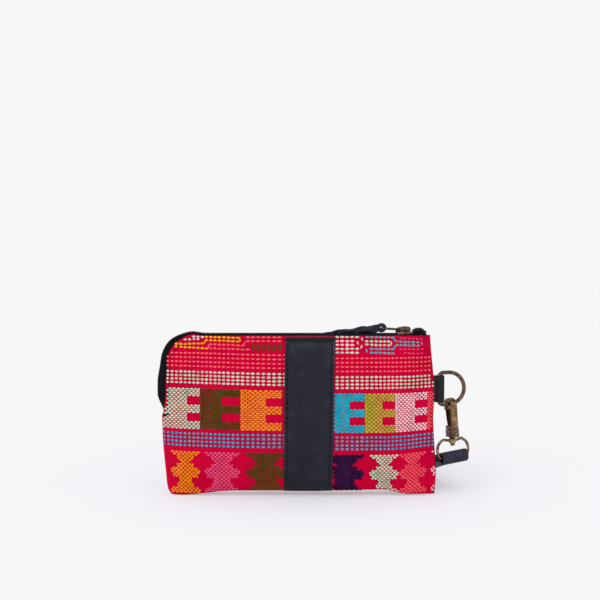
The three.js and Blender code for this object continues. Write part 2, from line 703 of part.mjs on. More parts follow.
function swivelRing() {
  const loop = new THREE.TubeGeometry(new SwivelRingPath(), 44, SWIVEL_WIRE, 7, true);
  const ball = new THREE.SphereGeometry(SWIVEL_BALL, 12, 8);
  const bore = new THREE.CylinderGeometry(1, 1, 8, 16).scale(
    SWIVEL_PIN_RADIUS + CLEARANCE,
    1,
    SWIVEL_PIN_RADIUS + CLEARANCE,
  );
  return cut(join(loop, ball), bore.rotateX(Math.PI / 2)).translate(0, 0, SWIVEL_Z);
}

// Strap: one ribbon, drawn from the side, back along +X and up along +Y, round the bar at 0, 0
function wristStrap(barHeight) {
  const floor = STRAP_LEATHER / 2 - barHeight;
  const far = STRAP_LOOP;
  const r = FOLD_RADIUS;
  const layer = STRAP_LEATHER + CLEARANCE;
  const spots = [
    [27, -5.2],
    [17, -2.6],
    [9.5, -1.2],
    [5.6, -2.1],
    [2.8, -r * 0.93],
    [-0.6, -r],
    [-r * 0.86, -r * 0.5],
    [-r * 0.96, r * 0.3],
    [-r * 0.35, r * 0.94],
    [2.2, r * 0.86],
    [5.4, 1.9],
    [9.5, -1.2 + layer],
    [17, -2.6 + layer],
    [27, -5.0 + layer],
    [far * 0.33, -4.6],
    [far * 0.53, 1.0],
    [far * 0.74, 4.6],
    [far * 0.9, 1.0],
    [far * 0.99, floor * 0.45],
    [far * 0.965, floor * 0.86],
    [far * 0.87, floor],
    [far * 0.7, floor],
    [far * 0.52, floor],
    [far * 0.38, floor + 0.9],
    [far * 0.27, -5.2 - layer * 2.9],
    [far * 0.185, -5.2 - layer * 1.05],
    [17, -2.6 - layer],
    [10.5, -1.7 - layer],
  ].map(([x, y]) => new THREE.Vector2(x, y));
  const path = new THREE.SplineCurve(spots);
  const steps = 72;
  const upper = [];
  const lower = [];
  for (let i = 0; i <= steps; i += 1) {
    const place = path.getPointAt(i / steps);
    place.y = Math.max(place.y, floor);
    const along = path.getTangentAt(i / steps);
    const off = new THREE.Vector2(-along.y, along.x).multiplyScalar(STRAP_LEATHER / 2);
    upper.push(place.clone().add(off));
    lower.push(place.clone().sub(off));
  }
  const outline = new THREE.Shape([...upper, ...lower.reverse()]);
  const ribbon = extruded(outline, STRAP_WIDTH).rotateX(Math.PI / 2).rotateZ(Math.PI / 2);
  ribbon.translate(STRAP_SHIFT, 0, 0);
  const places = ribbon.attributes.position;
  const turned = at(0, 0, 0);
  const axis = at(0, 1, 0);
  for (let i = 0; i < places.count; i += 1) {
    turned.fromBufferAttribute(places, i);
    const tilt = rad(STRAP_TILT_DEG) * smooth(turned.y, 5, STRAP_TILT_RUN);
    turned.applyAxisAngle(axis, tilt);
    places.setXYZ(i, turned.x, turned.y, turned.z);
  }
  return outwards(ribbon);
}

// Pouch
const tabRoom = sideTab(CLEARANCE);
for (const [name, side] of [
  ["front", -1],
  ["back", 1],
]) {
  const cloth = shellOn(clothFace(side), CLOTH_COLUMNS, CLOTH_ROWS, CLOTH, -side);
  addPiece(assembly, name + "_panel", cut(cloth, tabRoom), "cloth");
  const lining = shellOn(liningFace(side), 12, 8, LINING, -side);
  addPiece(assembly, name + "_lining", cut(lining, tabRoom), "lining");
  addPiece(assembly, "zip_tape_" + name, zipTape(side), "tape");
  addPiece(assembly, "zip_teeth_" + name, zipTeeth(side), "teeth");
  addPiece(assembly, "zip_end_" + name, zipEnd(side), "tape");
}
addPiece(assembly, "zip_bottom_stop", zipBottomStop(), "brass");
addPiece(assembly, "leather_band", leatherBand(), "leather");
addPiece(assembly, "side_tab", outwards(sideTab()), "leather");

// Slider and pull
addPiece(assembly, "slider_body", sliderBody(), "brass");
addPiece(assembly, "slider_bridge", sliderBridge(), "brass");
const linkFrame = new THREE.Group();
linkFrame.position.copy(linkPivot);
linkFrame.rotation.y = rad(LINK_LIFT_DEG);
addPiece(linkFrame, "pull_link", pullLink(), "brass");
const thongFrame = new THREE.Group();
thongFrame.position.x = -LINK_HALF_LENGTH * 2;
thongFrame.rotation.y = -rad(LINK_LIFT_DEG);
addPiece(thongFrame, "pull_thong", pullThong(), "leather");
linkFrame.add(thongFrame);
assembly.add(linkFrame);

// D-ring
const dRingFrame = new THREE.Group();
dRingFrame.position.set(BAR_X, 0, RING_HEIGHT_Z);
dRingFrame.rotation.z = rad(D_TURN_DEG);
const dRing = new THREE.TubeGeometry(new DRingPath(), 48, D_WIRE, 8, true);
addPiece(dRingFrame, "d_ring", outwards(dRing), "brass");
assembly.add(dRingFrame);

// Hook, on the lower run of the D-ring
const onArc = HOOK_ALONG_D - D_STRAIGHT;
const wireDrop = Math.sqrt(D_HALF_HEIGHT ** 2 - onArc ** 2);
const hookPlace = at(
  BAR_X + HOOK_ALONG_D * Math.cos(rad(D_TURN_DEG)),
  HOOK_ALONG_D * Math.sin(rad(D_TURN_DEG)),
  RING_HEIGHT_Z - wireDrop,
);
const hookTilt = new THREE.Group();
hookTilt.position.copy(hookPlace);
hookTilt.rotation.y = -rad(HOOK_TILT_DEG);
const hookFrame = new THREE.Group();
hookFrame.rotation.z = rad(HOOK_TURN_DEG);
addPiece(hookFrame, "hook_body", hookBody(), "brass");
addPiece(hookFrame, "hook_gate", hookGate(), "brass");
addPiece(hookFrame, "gate_pin", rodX(PIN_RADIUS, COLLAR_WIDTH, PIVOT_Y, PIVOT_Z), "steel");
addPiece(hookFrame, "gate_spring", gateSpring(), "steel");
addPiece(hookFrame, "swivel_pin", swivelPin(), "brass");
const ringFrame = new THREE.Group();
ringFrame.rotation.z = rad(SWIVEL_RING_TURN_DEG);
addPiece(ringFrame, "swivel_ring", swivelRing(), "brass");
hookTilt.add(hookFrame, ringFrame);
assembly.add(hookTilt);

// Strap, round the middle of the swivel ring's lower bar
hookTilt.updateMatrixWorld(true);
const barPlace = ringFrame.localToWorld(at(0, 0, SWIVEL_Z - SWIVEL_DROP));
const strapFrame = new THREE.Group();
strapFrame.position.copy(barPlace);
strapFrame.rotation.set(0, -rad(STRAP_TILT_DEG), rad(STRAP_TURN_DEG), "ZYX");
addPiece(strapFrame, "wrist_strap", wristStrap(barPlace.z), "leather");
assembly.add(strapFrame);

// Origin on the floor under the middle of the whole part
const extent = new THREE.Box3().setFromObject(assembly);
const middle = extent.getCenter(at(0, 0, 0));
assembly.position.set(-middle.x, -middle.y, 0);

const part = new THREE.Group();
part.add(assembly);
export default part;
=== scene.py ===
"""Looks of the woven zip wristlet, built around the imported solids.

Sizes are millimetres in the pouch's own frame: x along the pouch, y back from its middle plane, z up from
the floor. A finished mesh is moved to the part's frame and to metres as it is made.
"""
import json
import math

import bmesh
import bpy
import numpy as np
from mathutils import Matrix, Vector

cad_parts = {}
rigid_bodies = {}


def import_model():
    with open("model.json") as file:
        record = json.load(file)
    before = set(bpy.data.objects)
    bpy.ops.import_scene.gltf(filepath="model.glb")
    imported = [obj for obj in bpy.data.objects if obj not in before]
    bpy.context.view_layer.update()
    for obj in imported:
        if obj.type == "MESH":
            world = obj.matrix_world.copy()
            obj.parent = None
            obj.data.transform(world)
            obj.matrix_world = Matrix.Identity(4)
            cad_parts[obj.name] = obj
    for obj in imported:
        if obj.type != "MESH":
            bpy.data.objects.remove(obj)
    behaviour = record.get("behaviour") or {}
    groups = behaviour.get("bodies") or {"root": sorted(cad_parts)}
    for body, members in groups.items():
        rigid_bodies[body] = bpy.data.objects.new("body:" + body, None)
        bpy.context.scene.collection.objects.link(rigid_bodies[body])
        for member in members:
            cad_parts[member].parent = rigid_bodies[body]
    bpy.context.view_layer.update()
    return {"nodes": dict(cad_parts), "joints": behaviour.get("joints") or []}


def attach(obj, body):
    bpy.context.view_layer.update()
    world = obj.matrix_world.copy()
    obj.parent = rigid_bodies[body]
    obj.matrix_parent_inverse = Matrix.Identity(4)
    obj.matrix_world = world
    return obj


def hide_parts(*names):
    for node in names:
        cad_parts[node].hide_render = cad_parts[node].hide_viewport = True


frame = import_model()

JOINTS = {joint["name"]: joint for joint in frame["joints"]}
MM = 0.001

# Pouch
POUCH_HEIGHT = 113.0
LEFT_EDGE = -94.4
LEFT_BELLY = 1.8
RIGHT_EDGE = 96.6
RIGHT_BELLY = 1.5
RIGHT_TOP_INSET = 3.3
RIGHT_WAIST = 0.7
LEFT_FOOT_INSET = 3.0
LEFT_CORNER_INSET = 3.2
CORNER_RADIUS = 19.5
HALF_DEPTH = 13.0
FULLEST_HEIGHT = 38.0
FOOT_HALF_DEPTH = 7.0
BOTTOM_RISE = 3.6
LEFT_FOOT_X = -87.0
RIGHT_FOOT_X = 80.0
LEFT_RISE_RUN = 42.0
RIGHT_RISE_RUN = 22.0
FRONT_FOOT_LIFT = 1.0  # the front's right foot hangs a little above the floor
CLOTH_TOP = 113.7  # the soft cloth swells up beside the zip
ZIP_HALF_OPENING = 6.2
SEAM_HALF_GAP = 0.15
CLOTH = 1.6
CLEARANCE = 0.3
UNDERSIDE_SHARE = 0.125

# Zip
ZIP_RIGHT_END = 79.8
ZIP_LOW_END = 61.0
ZIP_LOW_TAPER = 13.0
ZIP_LUMP_HALF_LENGTH = 5.1
ZIP_LUMP_HEIGHT = 5.5
ZIP_LUMP_WIDTH = 3.0
CHAIN_TOP = 2.0
CHAIN_SIDE = 5.0
COIL_PITCH = 2.3
COIL_HALF_WIDTH = 2.9
TAPE_TURN_IN = 4.6

# Slider and pull
SLIDER_X = 74.3
SLIDER_LENGTH = 10.2
SLIDER_HALF_WIDTH = 4.4
SLIDER_PLATE = 1.0
BRIDGE_HEIGHT = 3.0
BRIDGE_WIDTH = 2.4
BRIDGE_THICKNESS = 0.8
LINK_WIRE = 0.55
LINK_HALF_LENGTH = 6.4
LINK_HALF_WIDTH = 2.5
LINK_LIFT = math.radians(4)
SLIDER_FLANGE = 0.4  # half its thickness

# Leather band
BAND_CENTRE_X = 7.8
BAND_WIDTH = 35.5
BAND_LEFT = (-10.2, -9.1)  # at its foot and at its top
BAND_RIGHT = (23.9, 26.4)
BAND_THICKNESS = 1.3
STITCH_PITCH = 3.4
STITCH_INSET = 2.1

# Tab, D-ring, hook, swivel and strap
BAR_X = 99.6
RING_HEIGHT_Z = 75.3
TAB_WIDTH = 19.0
TAB_LEATHER = 1.4
TAB_SLACK = 1.0
D_WIRE = 1.4
D_HALF_HEIGHT = 11.4
D_STRAIGHT = 7.7
D_CORNER = 3.6
D_TURN = math.radians(15)
HOOK_TILT = math.radians(3.5)
HOOK_TURN = math.radians(27)
SPINE_WIDTH = 5.0
SPINE_THICKNESS = 1.9
EYE_RADIUS = 3.2
EYE_TOP = 2.6
NOSE_END = -4.6
COLLAR_TOP = -15.4
COLLAR_BOTTOM = -23.5
COLLAR_WIDTH = 6.6
PIVOT_Y = 1.6
PIVOT_Z = -17.9
GATE_WIDTH = 3.6
SWIVEL_Z = -26.0
SWIVEL_TURN = math.radians(15)
SWIVEL_WIRE = 1.0
SWIVEL_HALF_WIDTH = 11.6
SWIVEL_BAR_HALF = 8.4
SWIVEL_DROP = 12.0
STRAP_WIDTH = 19.4
STRAP_SHIFT = 0.4
STRAP_LEATHER = 1.5
FOLD_RADIUS = 3.8
STRAP_TURN = math.radians(20)
STRAP_TILT = math.radians(7)
STRAP_TILT_RUN = 42.0
STRAP_LOOP = 146.0

# Camera, and the white that it sees behind the pouch
CAMERA_TARGET = (1.4, 0.0, 138.4)
CAMERA_DISTANCE = 1.1755  # in metres
CAMERA_LIFT = math.radians(5)
BACKDROP_WHITE = (0.93, 0.93, 0.93, 1)

SIDES = ((-1, "front"), (1, "back"))
LYING = ((1, 0, 0), (0, 1, 0), (0, 0, 1))
UPRIGHT = ((1, 0, 0), (0, 0, 1), (0, 1, 0))

ring_pivot = JOINTS["d_ring_swing"]["pos_m"]
MIDDLE = np.array([ring_pivot[0] - BAR_X * MM, ring_pivot[1], 0.0])


def smooth(x, low, high):
    share = np.clip((np.asarray(x, float) - low) / (high - low), 0, 1)
    return share * share * (3 - 2 * share)


def mix(a, b, share):
    return a + (b - a) * share


def unit(vectors):
    return vectors / np.maximum(np.linalg.norm(vectors, axis=-1, keepdims=True), 1e-12)


def place_of(joint_name):
    """A joint's place in the pouch's frame, in millimetres."""
    return (np.array(JOINTS[joint_name]["pos_m"]) - MIDDLE) / MM


# Shape of the cloth

def corner_pull(x, z):
    """How far the top left corner is pulled inward and upward, which makes it rounder than an arc."""
    inward = 2.2 * smooth(z, 80, 97) * (1 - smooth(x, LEFT_EDGE + 8, -60))
    upward = 1.1 * np.exp(-(((x + 76) / 6) ** 2)) * smooth(z, 96, 112)
    return inward, upward


def left_edge(z):
    belly = LEFT_BELLY * (1 - smooth(z, ZIP_LOW_END - 6, ZIP_LOW_END + 1))
    foot = LEFT_FOOT_INSET * (1 - smooth(z, 0, 46))
    foot = foot + LEFT_CORNER_INSET * np.exp(-np.asarray(z, float) / 2.6)
    up = np.maximum(z - (POUCH_HEIGHT - CORNER_RADIUS), 0)
    corner = CORNER_RADIUS - np.sqrt(np.maximum(CORNER_RADIUS ** 2 - up ** 2, 0))
    tape_shows = 1.2 * smooth(z, ZIP_LOW_END - 2, ZIP_LOW_END + 14) * (1 - smooth(z, 86, 97))
    return LEFT_EDGE - belly + foot + corner + tape_shows


def right_edge(z):
    belly = RIGHT_BELLY * np.exp(-(((z - 16) / 15) ** 2))
    waist = RIGHT_WAIST * np.exp(-(((z - 53) / 10) ** 2))
    return RIGHT_EDGE + belly - waist - RIGHT_TOP_INSET * smooth(z, 70, POUCH_HEIGHT + 5)


def bottom_height(x, side=1):
    left = smooth(x, LEFT_FOOT_X, LEFT_FOOT_X + LEFT_RISE_RUN)
    rise = BOTTOM_RISE * left * (1 - smooth(x, RIGHT_FOOT_X - RIGHT_RISE_RUN, RIGHT_FOOT_X))
    return rise + (FRONT_FOOT_LIFT * smooth(x, 10, 80) if side < 0 else 0)


def half_depth(across, x, z, bottom):
    side_fullness = np.sqrt(np.maximum(1 - np.abs(across) ** 4, 0))
    foot_fullness = np.sqrt(np.maximum(1 - np.abs(across) ** 8, 0))
    left_zip = np.where(across < 0, smooth(z, ZIP_LOW_END - 13, ZIP_LOW_END - 2), 0)
    edge = mix(SEAM_HALF_GAP, ZIP_HALF_OPENING, left_zip)
    shut = smooth(x, ZIP_RIGHT_END + 1, RIGHT_EDGE - 3)
    top_edge = mix(ZIP_HALF_OPENING, CLOTH + SEAM_HALF_GAP, shut)
    foot = edge + (FOOT_HALF_DEPTH - edge) * foot_fullness
    low = np.clip((z - bottom) / (FULLEST_HEIGHT - bottom), 0, 1)
    rise = np.sin(math.pi / 2 * low ** 0.62)
    below = foot + (edge + (HALF_DEPTH - edge) * side_fullness - foot) * rise
    high = np.clip((z - FULLEST_HEIGHT) / (POUCH_HEIGHT - FULLEST_HEIGHT), 0, 1)
    fall = np.cos(math.pi / 2 * high ** 1.25)
    middle = top_edge + (HALF_DEPTH - top_edge) * fall
    zip_fullness = np.sqrt(np.maximum(1 - np.abs(across) ** 26, 0)) * smooth(z, 82, 107)
    above = np.maximum(edge + (middle - edge) * side_fullness, top_edge * zip_fullness)
    return np.where(z < FULLEST_HEIGHT, below, above)


def climb_of(v):
    up = np.maximum((v - UNDERSIDE_SHARE) / (1 - UNDERSIDE_SHARE), 0)
    return np.sin(up * math.pi / 2) * 0.6 + up * 0.4


ROW_SHARES = np.linspace(UNDERSIDE_SHARE, 1, 400)
ROW_CLIMBS = climb_of(ROW_SHARES)


def row_at(x, z, side=-1):
    """The share of the way up the cloth at a place x and a height z."""
    bottom = bottom_height(x, side)
    return np.interp((z - bottom) / (CLOTH_TOP - bottom), ROW_CLIMBS, ROW_SHARES)


def slack(side, x, z):
    """How far the soft cloth stands off its plain form: low folds, and pulls beside the band and seams."""
    sway = 0.55 * np.sin(x * 0.061 + side * 0.8) * np.sin(z * 0.043 + 0.6)
    sway = sway + 0.3 * np.sin(x * 0.13 + z * 0.05 + side * 1.9)
    sway = sway + 0.18 * np.sin(x * 0.31 - z * 0.11)
    corner = np.exp(-(((x - 82) / 13) ** 2 + ((z - 97) / 15) ** 2))
    crease = -0.9 * corner * np.cos((x - 82) * 0.32 + (z - 97) * 0.2)
    foot = np.exp(-(((np.abs(x) - 74) / 16) ** 2 + ((z - 14) / 12) ** 2))
    pucker = 0.7 * foot * np.sin(x * 0.4 + z * 0.22)
    in_from_edges = smooth(x - left_edge(z), 0, 12) * smooth(right_edge(z) - x, 0, 10)
    in_from_ends = smooth(z, 2, 14) * smooth(POUCH_HEIGHT - z, 0, 8)
    total = (sway + crease + pucker) * in_from_edges * in_from_ends
    if side < 0:
        beside = np.abs(np.abs(x - BAND_CENTRE_X) - BAND_WIDTH / 2)
        total = total * smooth(beside, 0, 14)
        under_band = np.abs(x - BAND_CENTRE_X) < BAND_WIDTH / 2
        total = np.where(under_band, 0, total - 0.35 * np.exp(-((beside - 4) / 4) ** 2) * in_from_ends)
    return total


def plain_cloth(side, x, v):
    climb = climb_of(v)
    level = POUCH_HEIGHT * climb
    left = left_edge(level)
    right = right_edge(level)
    across = np.clip((x - left) / (right - left) * 2 - 1, -1, 1)
    bottom = bottom_height(x, side)
    z = mix(bottom, CLOTH_TOP, climb)
    depth = np.maximum(half_depth(across, x, z, bottom), SEAM_HALF_GAP)
    under = np.clip(v / UNDERSIDE_SHARE, 0, 1)
    inward, upward = corner_pull(x, z)
    return np.stack([x + inward, side * mix(SEAM_HALF_GAP, depth, under), z + upward], axis=-1)


def cloth_normal(side, x, v):
    step_x = 0.4
    step_v = 0.004
    low = np.clip(v - step_v, 0, 1)
    high = np.clip(v + step_v, 0, 1)
    along = plain_cloth(side, x + step_x, v) - plain_cloth(side, x - step_x, v)
    up = plain_cloth(side, x, high) - plain_cloth(side, x, low)
    return unit(np.cross(along, up)) * -side


def cloth_at(side, x, v, off=0.0):
    """A point of the soft cloth, and a distance off it."""
    x = np.asarray(x, float)
    v = np.asarray(v, float)
    spot = plain_cloth(side, x, v)
    lift = slack(side, x, spot[..., 2]) * smooth(v, UNDERSIDE_SHARE, UNDERSIDE_SHARE + 0.08) + off
    return spot + cloth_normal(side, x, v) * np.expand_dims(lift, -1)


# Meshes

def to_part(points):
    return np.asarray(points, float) * MM + MIDDLE


def placed(name, data):
    """A new object in the scene."""
    made = bpy.data.objects.new(name, data)
    bpy.context.scene.collection.objects.link(made)
    return made


def new_piece(name, points, faces, finish, uv=None):
    mesh = bpy.data.meshes.new(name)
    mesh.from_pydata(to_part(points).tolist(), [], faces)
    mesh.validate()
    piece = placed(name, mesh)
    mesh.materials.append(finish)
    mesh.polygons.foreach_set("use_smooth", [True] * len(mesh.polygons))
    if uv is not None:
        layer = mesh.uv_layers.new(name="UVMap")
        corners = np.zeros(len(mesh.loops), int)
        mesh.loops.foreach_get("vertex_index", corners)
        layer.data.foreach_set("uv", (np.asarray(uv, float)[corners] * MM).ravel())
    mesh.update()
    return piece


def run_along(path):
    """How far along the path each of its points lies."""
    return np.concatenate([[0], np.cumsum(np.linalg.norm(np.diff(path, axis=0), axis=1))])


def prism_faces(count):
    """Two ends of count corners each, and the walls between them."""
    walls = [(i, count + i, count + (i + 1) % count, (i + 1) % count) for i in range(count)]
    return [tuple(range(count)), tuple(range(2 * count - 1, count - 1, -1))] + walls


def ring_faces(count, around, closed=False):
    """Quads of a skin of rings, each ring closed on itself."""
    faces = []
    last = count if closed else count - 1
    for i in range(last):
        row = i * around
        above = ((i + 1) % count) * around
        for j in range(around):
            k = (j + 1) % around
            faces.append((row + j, row + k, above + k, above + j))
    return faces


def skin(name, rings, finish, closed=False):
    """A tube-like skin through rings of points, with capped ends where it isn't closed."""
    rings = np.asarray(rings, float)
    count, around = rings.shape[:2]
    faces = ring_faces(count, around, closed)
    if not closed:
        faces.append(tuple(reversed(range(around))))
        faces.append(tuple((count - 1) * around + j for j in range(around)))
    middle = rings.mean(axis=1)
    run = run_along(middle)
    girth = np.linalg.norm(np.diff(rings, axis=1, append=rings[:, :1]), axis=2)
    girth = np.concatenate([np.zeros((count, 1)), np.cumsum(girth, axis=1)[:, :-1]], axis=1)
    uv = np.stack([np.repeat(run[:, None], around, axis=1), girth], axis=-1).reshape(-1, 2)
    piece = new_piece(name, rings.reshape(-1, 3), faces, finish, uv)
    face_outwards(piece)
    return piece


def face_outwards(piece):
    work = bmesh.new()
    work.from_mesh(piece.data)
    bmesh.ops.recalc_face_normals(work, faces=work.faces)
    if work.calc_volume(signed=True) < 0:
        bmesh.ops.reverse_faces(work, faces=work.faces)
    work.to_mesh(piece.data)
    work.free()


def slab(name, outer, inner, finish, uv):
    """A closed sheet between an outer and an inner grid of points."""
    columns, rows = outer.shape[:2]
    points = np.concatenate([outer.reshape(-1, 3), inner.reshape(-1, 3)])
    half = columns * rows
    faces = []
    for i in range(columns - 1):
        for j in range(rows - 1):
            a = i * rows + j
            faces.append((a, a + rows, a + rows + 1, a + 1))
            faces.append((half + a, half + a + 1, half + a + rows + 1, half + a + rows))
    for i in range(columns - 1):
        for j in (0, rows - 1):
            a = i * rows + j
            faces.append((a, half + a, half + a + rows, a + rows))
    for j in range(rows - 1):
        for i in (0, columns - 1):
            a = i * rows + j
            faces.append((a, a + 1, half + a + 1, half + a))
    piece = new_piece(name, points, faces, finish, np.concatenate([uv.reshape(-1, 2)] * 2))
    face_outwards(piece)
    return piece


def path_axes(path, up, closed=False):
    """Along, side and up directions at each point of a path."""
    if closed:
        along = unit(np.roll(path, -1, axis=0) - np.roll(path, 1, axis=0))
    else:
        along = unit(np.gradient(path, axis=0))
    side = unit(np.cross(np.broadcast_to(up, along.shape), along))
    return along, side, np.cross(along, side)


def round_section(radius, sides):
    turn = np.linspace(0, 2 * math.pi, sides, endpoint=False)
    return np.stack([radius * np.cos(turn), radius * np.sin(turn)], axis=-1)


def strip_section(width, thickness, corner, arc=4):
    """A flat section with rounded corners, as pairs across and up."""
    spots = []
    for turn, sx, sy in ((0, 1, 1), (1, -1, 1), (2, -1, -1), (3, 1, -1)):
        for k in range(arc + 1):
            angle = math.pi / 2 * (turn + k / arc)
            x = sx * (width / 2 - corner) + corner * math.cos(angle)
            y = sy * (thickness / 2 - corner) + corner * math.sin(angle)
            spots.append((x, y))
    return np.array(spots)


def sweep(name, path, section, up, finish, closed=False):
    """A section of pairs, across and up, carried along a path."""
    path = np.asarray(path, float)
    side, rise = path_axes(path, np.asarray(up, float), closed)[1:]
    across, above = section[None, :, :1], section[None, :, 1:]
    rings = path[:, None, :] + side[:, None, :] * across + rise[:, None, :] * above
    return skin(name, rings, finish, closed)


def moved(points, matrix):
    points = np.asarray(points, float)
    turn = np.array(matrix.to_3x3())
    return points @ turn.T + np.array(matrix.translation)


def even(path, count, closed=False):
    """The same path with evenly spaced points."""
    path = np.asarray(path, float)
    if closed:
        path = np.concatenate([path, path[:1]])
    run = run_along(path)
    wanted = np.linspace(0, run[-1], count, endpoint=not closed)
    return np.stack([np.interp(wanted, run, path[:, k]) for k in range(path.shape[1])], axis=-1)


def spline(spots, closed=False, fine=24):
    """A smooth curve through the spots."""
    spots = np.asarray(spots, float)
    count = len(spots)
    runs = count if closed else count - 1
    out = []
    for i in range(runs):
        if closed:
            a, b, c, d = (spots[(i + k) % count] for k in (-1, 0, 1, 2))
        else:
            a, b = spots[max(i - 1, 0)], spots[i]
            c, d = spots[i + 1], spots[min(i + 2, count - 1)]
        t = np.linspace(0, 1, fine, endpoint=False)[:, None]
        out.append(
            b + 0.5 * t * (c - a)
            + t ** 2 * (a - 2.5 * b + 2 * c - 0.5 * d)
            + t ** 3 * (1.5 * (b - c) + 0.5 * (d - a))
        )
    if not closed:
        out.append(spots[-1:])
    return np.concatenate(out)


def joined(name, pieces):
    """One piece from several, with their materials kept."""
    for piece in bpy.context.view_layer.objects:
        piece.select_set(False)
    for piece in pieces:
        piece.select_set(True)
    bpy.context.view_layer.objects.active = pieces[0]
    bpy.ops.object.join()
    pieces[0].name = name
    pieces[0].data.name = name
    return pieces[0]


def rounded(piece, width, segments=2, angle=35):
    """Rounds a piece's hard edges, in its mesh."""
    bevel = piece.modifiers.new("edges", "BEVEL")
    bevel.width = width * MM
    bevel.segments = segments
    bevel.limit_method = "ANGLE"
    bevel.angle_limit = math.radians(angle)
    return applied(piece)


def applied(piece):
    """The piece with its modifiers made real."""
    view = bpy.context.evaluated_depsgraph_get()
    made = bpy.data.meshes.new_from_object(piece.evaluated_get(view), depsgraph=view)
    piece.modifiers.clear()
    old = piece.data
    piece.data = made
    made.name = old.name
    bpy.data.meshes.remove(old)
    return piece


def extruded(name, outline, low, high, axes, finish, edge=0.15):
    """A flat outline pushed between two heights. axes are its across, up and push directions."""
    across, up, push = (np.array(axis, float) for axis in axes)
    outline = np.asarray(outline, float)
    flat = outline[:, :1] * across + outline[:, 1:] * up
    points = np.concatenate([flat + push * low, flat + push * high])
    piece = new_piece(name, points, prism_faces(len(flat)), finish)
    face_outwards(piece)
    return rounded(piece, edge) if edge else piece


# Finishes

def colour(red, green, blue):
    """A colour from its 0 to 255 screen values."""
    return tuple((c / 255 / 12.92 if c / 255 <= 0.04045 else ((c / 255 + 0.055) / 1.055) ** 2.4)
                 for c in (red, green, blue)) + (1.0,)


def feed(tree, node, key, value):
    """Sets a node's input, or links it where the value is another node or its output."""
    if isinstance(value, bpy.types.Node):
        value = value.outputs[0]
    if isinstance(value, bpy.types.NodeSocket):
        tree.links.new(value, node.inputs[key])
    else:
        node.inputs[key].default_value = value


def put_node(tree, kind, inputs=None, **settings):
    node = tree.nodes.new(kind)
    for key, value in settings.items():
        setattr(node, key, value)
    for key, value in (inputs or {}).items():
        feed(tree, node, key, value)
    return node


class Finish:
    """A node material being made: put() adds a node, and its inputs are values or other nodes' outputs."""

    def __init__(self, name, **sockets):
        self.material = bpy.data.materials.new(name)
        self.material.use_nodes = True
        self.tree = self.material.node_tree
        self.tree.nodes.clear()
        self.out = self.tree.nodes.new("ShaderNodeOutputMaterial")
        self.shader = self.put("ShaderNodeBsdfPrincipled", sockets)
        self.tree.links.new(self.shader.outputs["BSDF"], self.out.inputs["Surface"])

    def put(self, kind, inputs=None, **settings):
        return put_node(self.tree, kind, inputs, **settings)

    def feed(self, node, key, value):
        feed(self.tree, node, key, value)

    def sum(self, operation, first, second=0.0, third=0.0):
        return self.put("ShaderNodeMath", {0: first, 1: second, 2: third}, operation=operation).outputs[0]

    def weighed(self, first, second, share):
        """A share of the first value and the rest of the second."""
        return self.sum("ADD", self.sum("MULTIPLY", first, share), self.sum("MULTIPLY", second, 1 - share))

    def masked(self, first, second, mask):
        """The first value where the mask is 1, the second where it is 0."""
        rest = self.sum("SUBTRACT", 1.0, mask)
        return self.sum("ADD", self.sum("MULTIPLY", first, mask), self.sum("MULTIPLY", second, rest))

    def blend(self, factor, first, second, kind="MIX"):
        node = self.put("ShaderNodeMix", data_type="RGBA", blend_type=kind)
        self.feed(node, 0, factor)
        self.feed(node, 6, first)
        self.feed(node, 7, second)
        return node.outputs[2]

    def ramp(self, factor, stops):
        node = self.put("ShaderNodeValToRGB", {0: factor})
        line = node.color_ramp
        line.elements[0].position, line.elements[0].color = stops[0]
        line.elements[1].position, line.elements[1].color = stops[-1]
        for position, shade in stops[1:-1]:
            line.elements.new(position).color = shade
        return node.outputs[0]

    def grey_ramp(self, factor, *stops):
        return self.ramp(factor, [(position, (grey, grey, grey, 1)) for position, grey in stops])

    def coordinates(self, scale, own=False):
        """Coordinates in metres times a scale: the object's, or the piece's own along its surface."""
        source = self.put("ShaderNodeTexCoord").outputs["UV" if own else "Object"]
        return self.put("ShaderNodeMapping", {"Vector": source, "Scale": scale}).outputs[0]

    def noise(self, where, scale=1.0, detail=2.0, roughness=0.5):
        inputs = {"Vector": where, "Scale": scale, "Detail": detail, "Roughness": roughness}
        return self.put("ShaderNodeTexNoise", inputs).outputs["Fac"]

    def bump(self, height, depth, strength=1.0, under=None):
        inputs = {"Height": height, "Distance": depth, "Strength": strength}
        if under is not None:
            inputs["Normal"] = under
        return self.put("ShaderNodeBump", inputs).outputs[0]

    def done(self, base=None, roughness=None, normal=None):
        for key, value in (("Base Color", base), ("Roughness", roughness), ("Normal", normal)):
            if value is not None:
                self.feed(self.shader, key, value)
        return self.material


def plain_weave(finish, thread):
    """Heights and over-under mask of a plain weave along the piece's own surface."""
    where = finish.coordinates((1 / thread, 1 / thread, 1), own=True)
    parts = finish.put("ShaderNodeSeparateXYZ", {0: where})
    crowns = []
    for k in (0, 1):
        share = finish.sum("FRACT", parts.outputs[k])
        crowns.append(finish.sum("SINE", finish.sum("MULTIPLY", share, math.pi)))
    over = finish.put("ShaderNodeTexChecker", {"Vector": where, "Scale": 1.0}).outputs["Fac"]
    warp = finish.sum("MULTIPLY", crowns[0], finish.sum("MULTIPLY_ADD", crowns[1], 0.45, 0.55))
    weft = finish.sum("MULTIPLY", crowns[1], finish.sum("MULTIPLY_ADD", crowns[0], 0.45, 0.55))
    return finish.masked(warp, weft, over), over


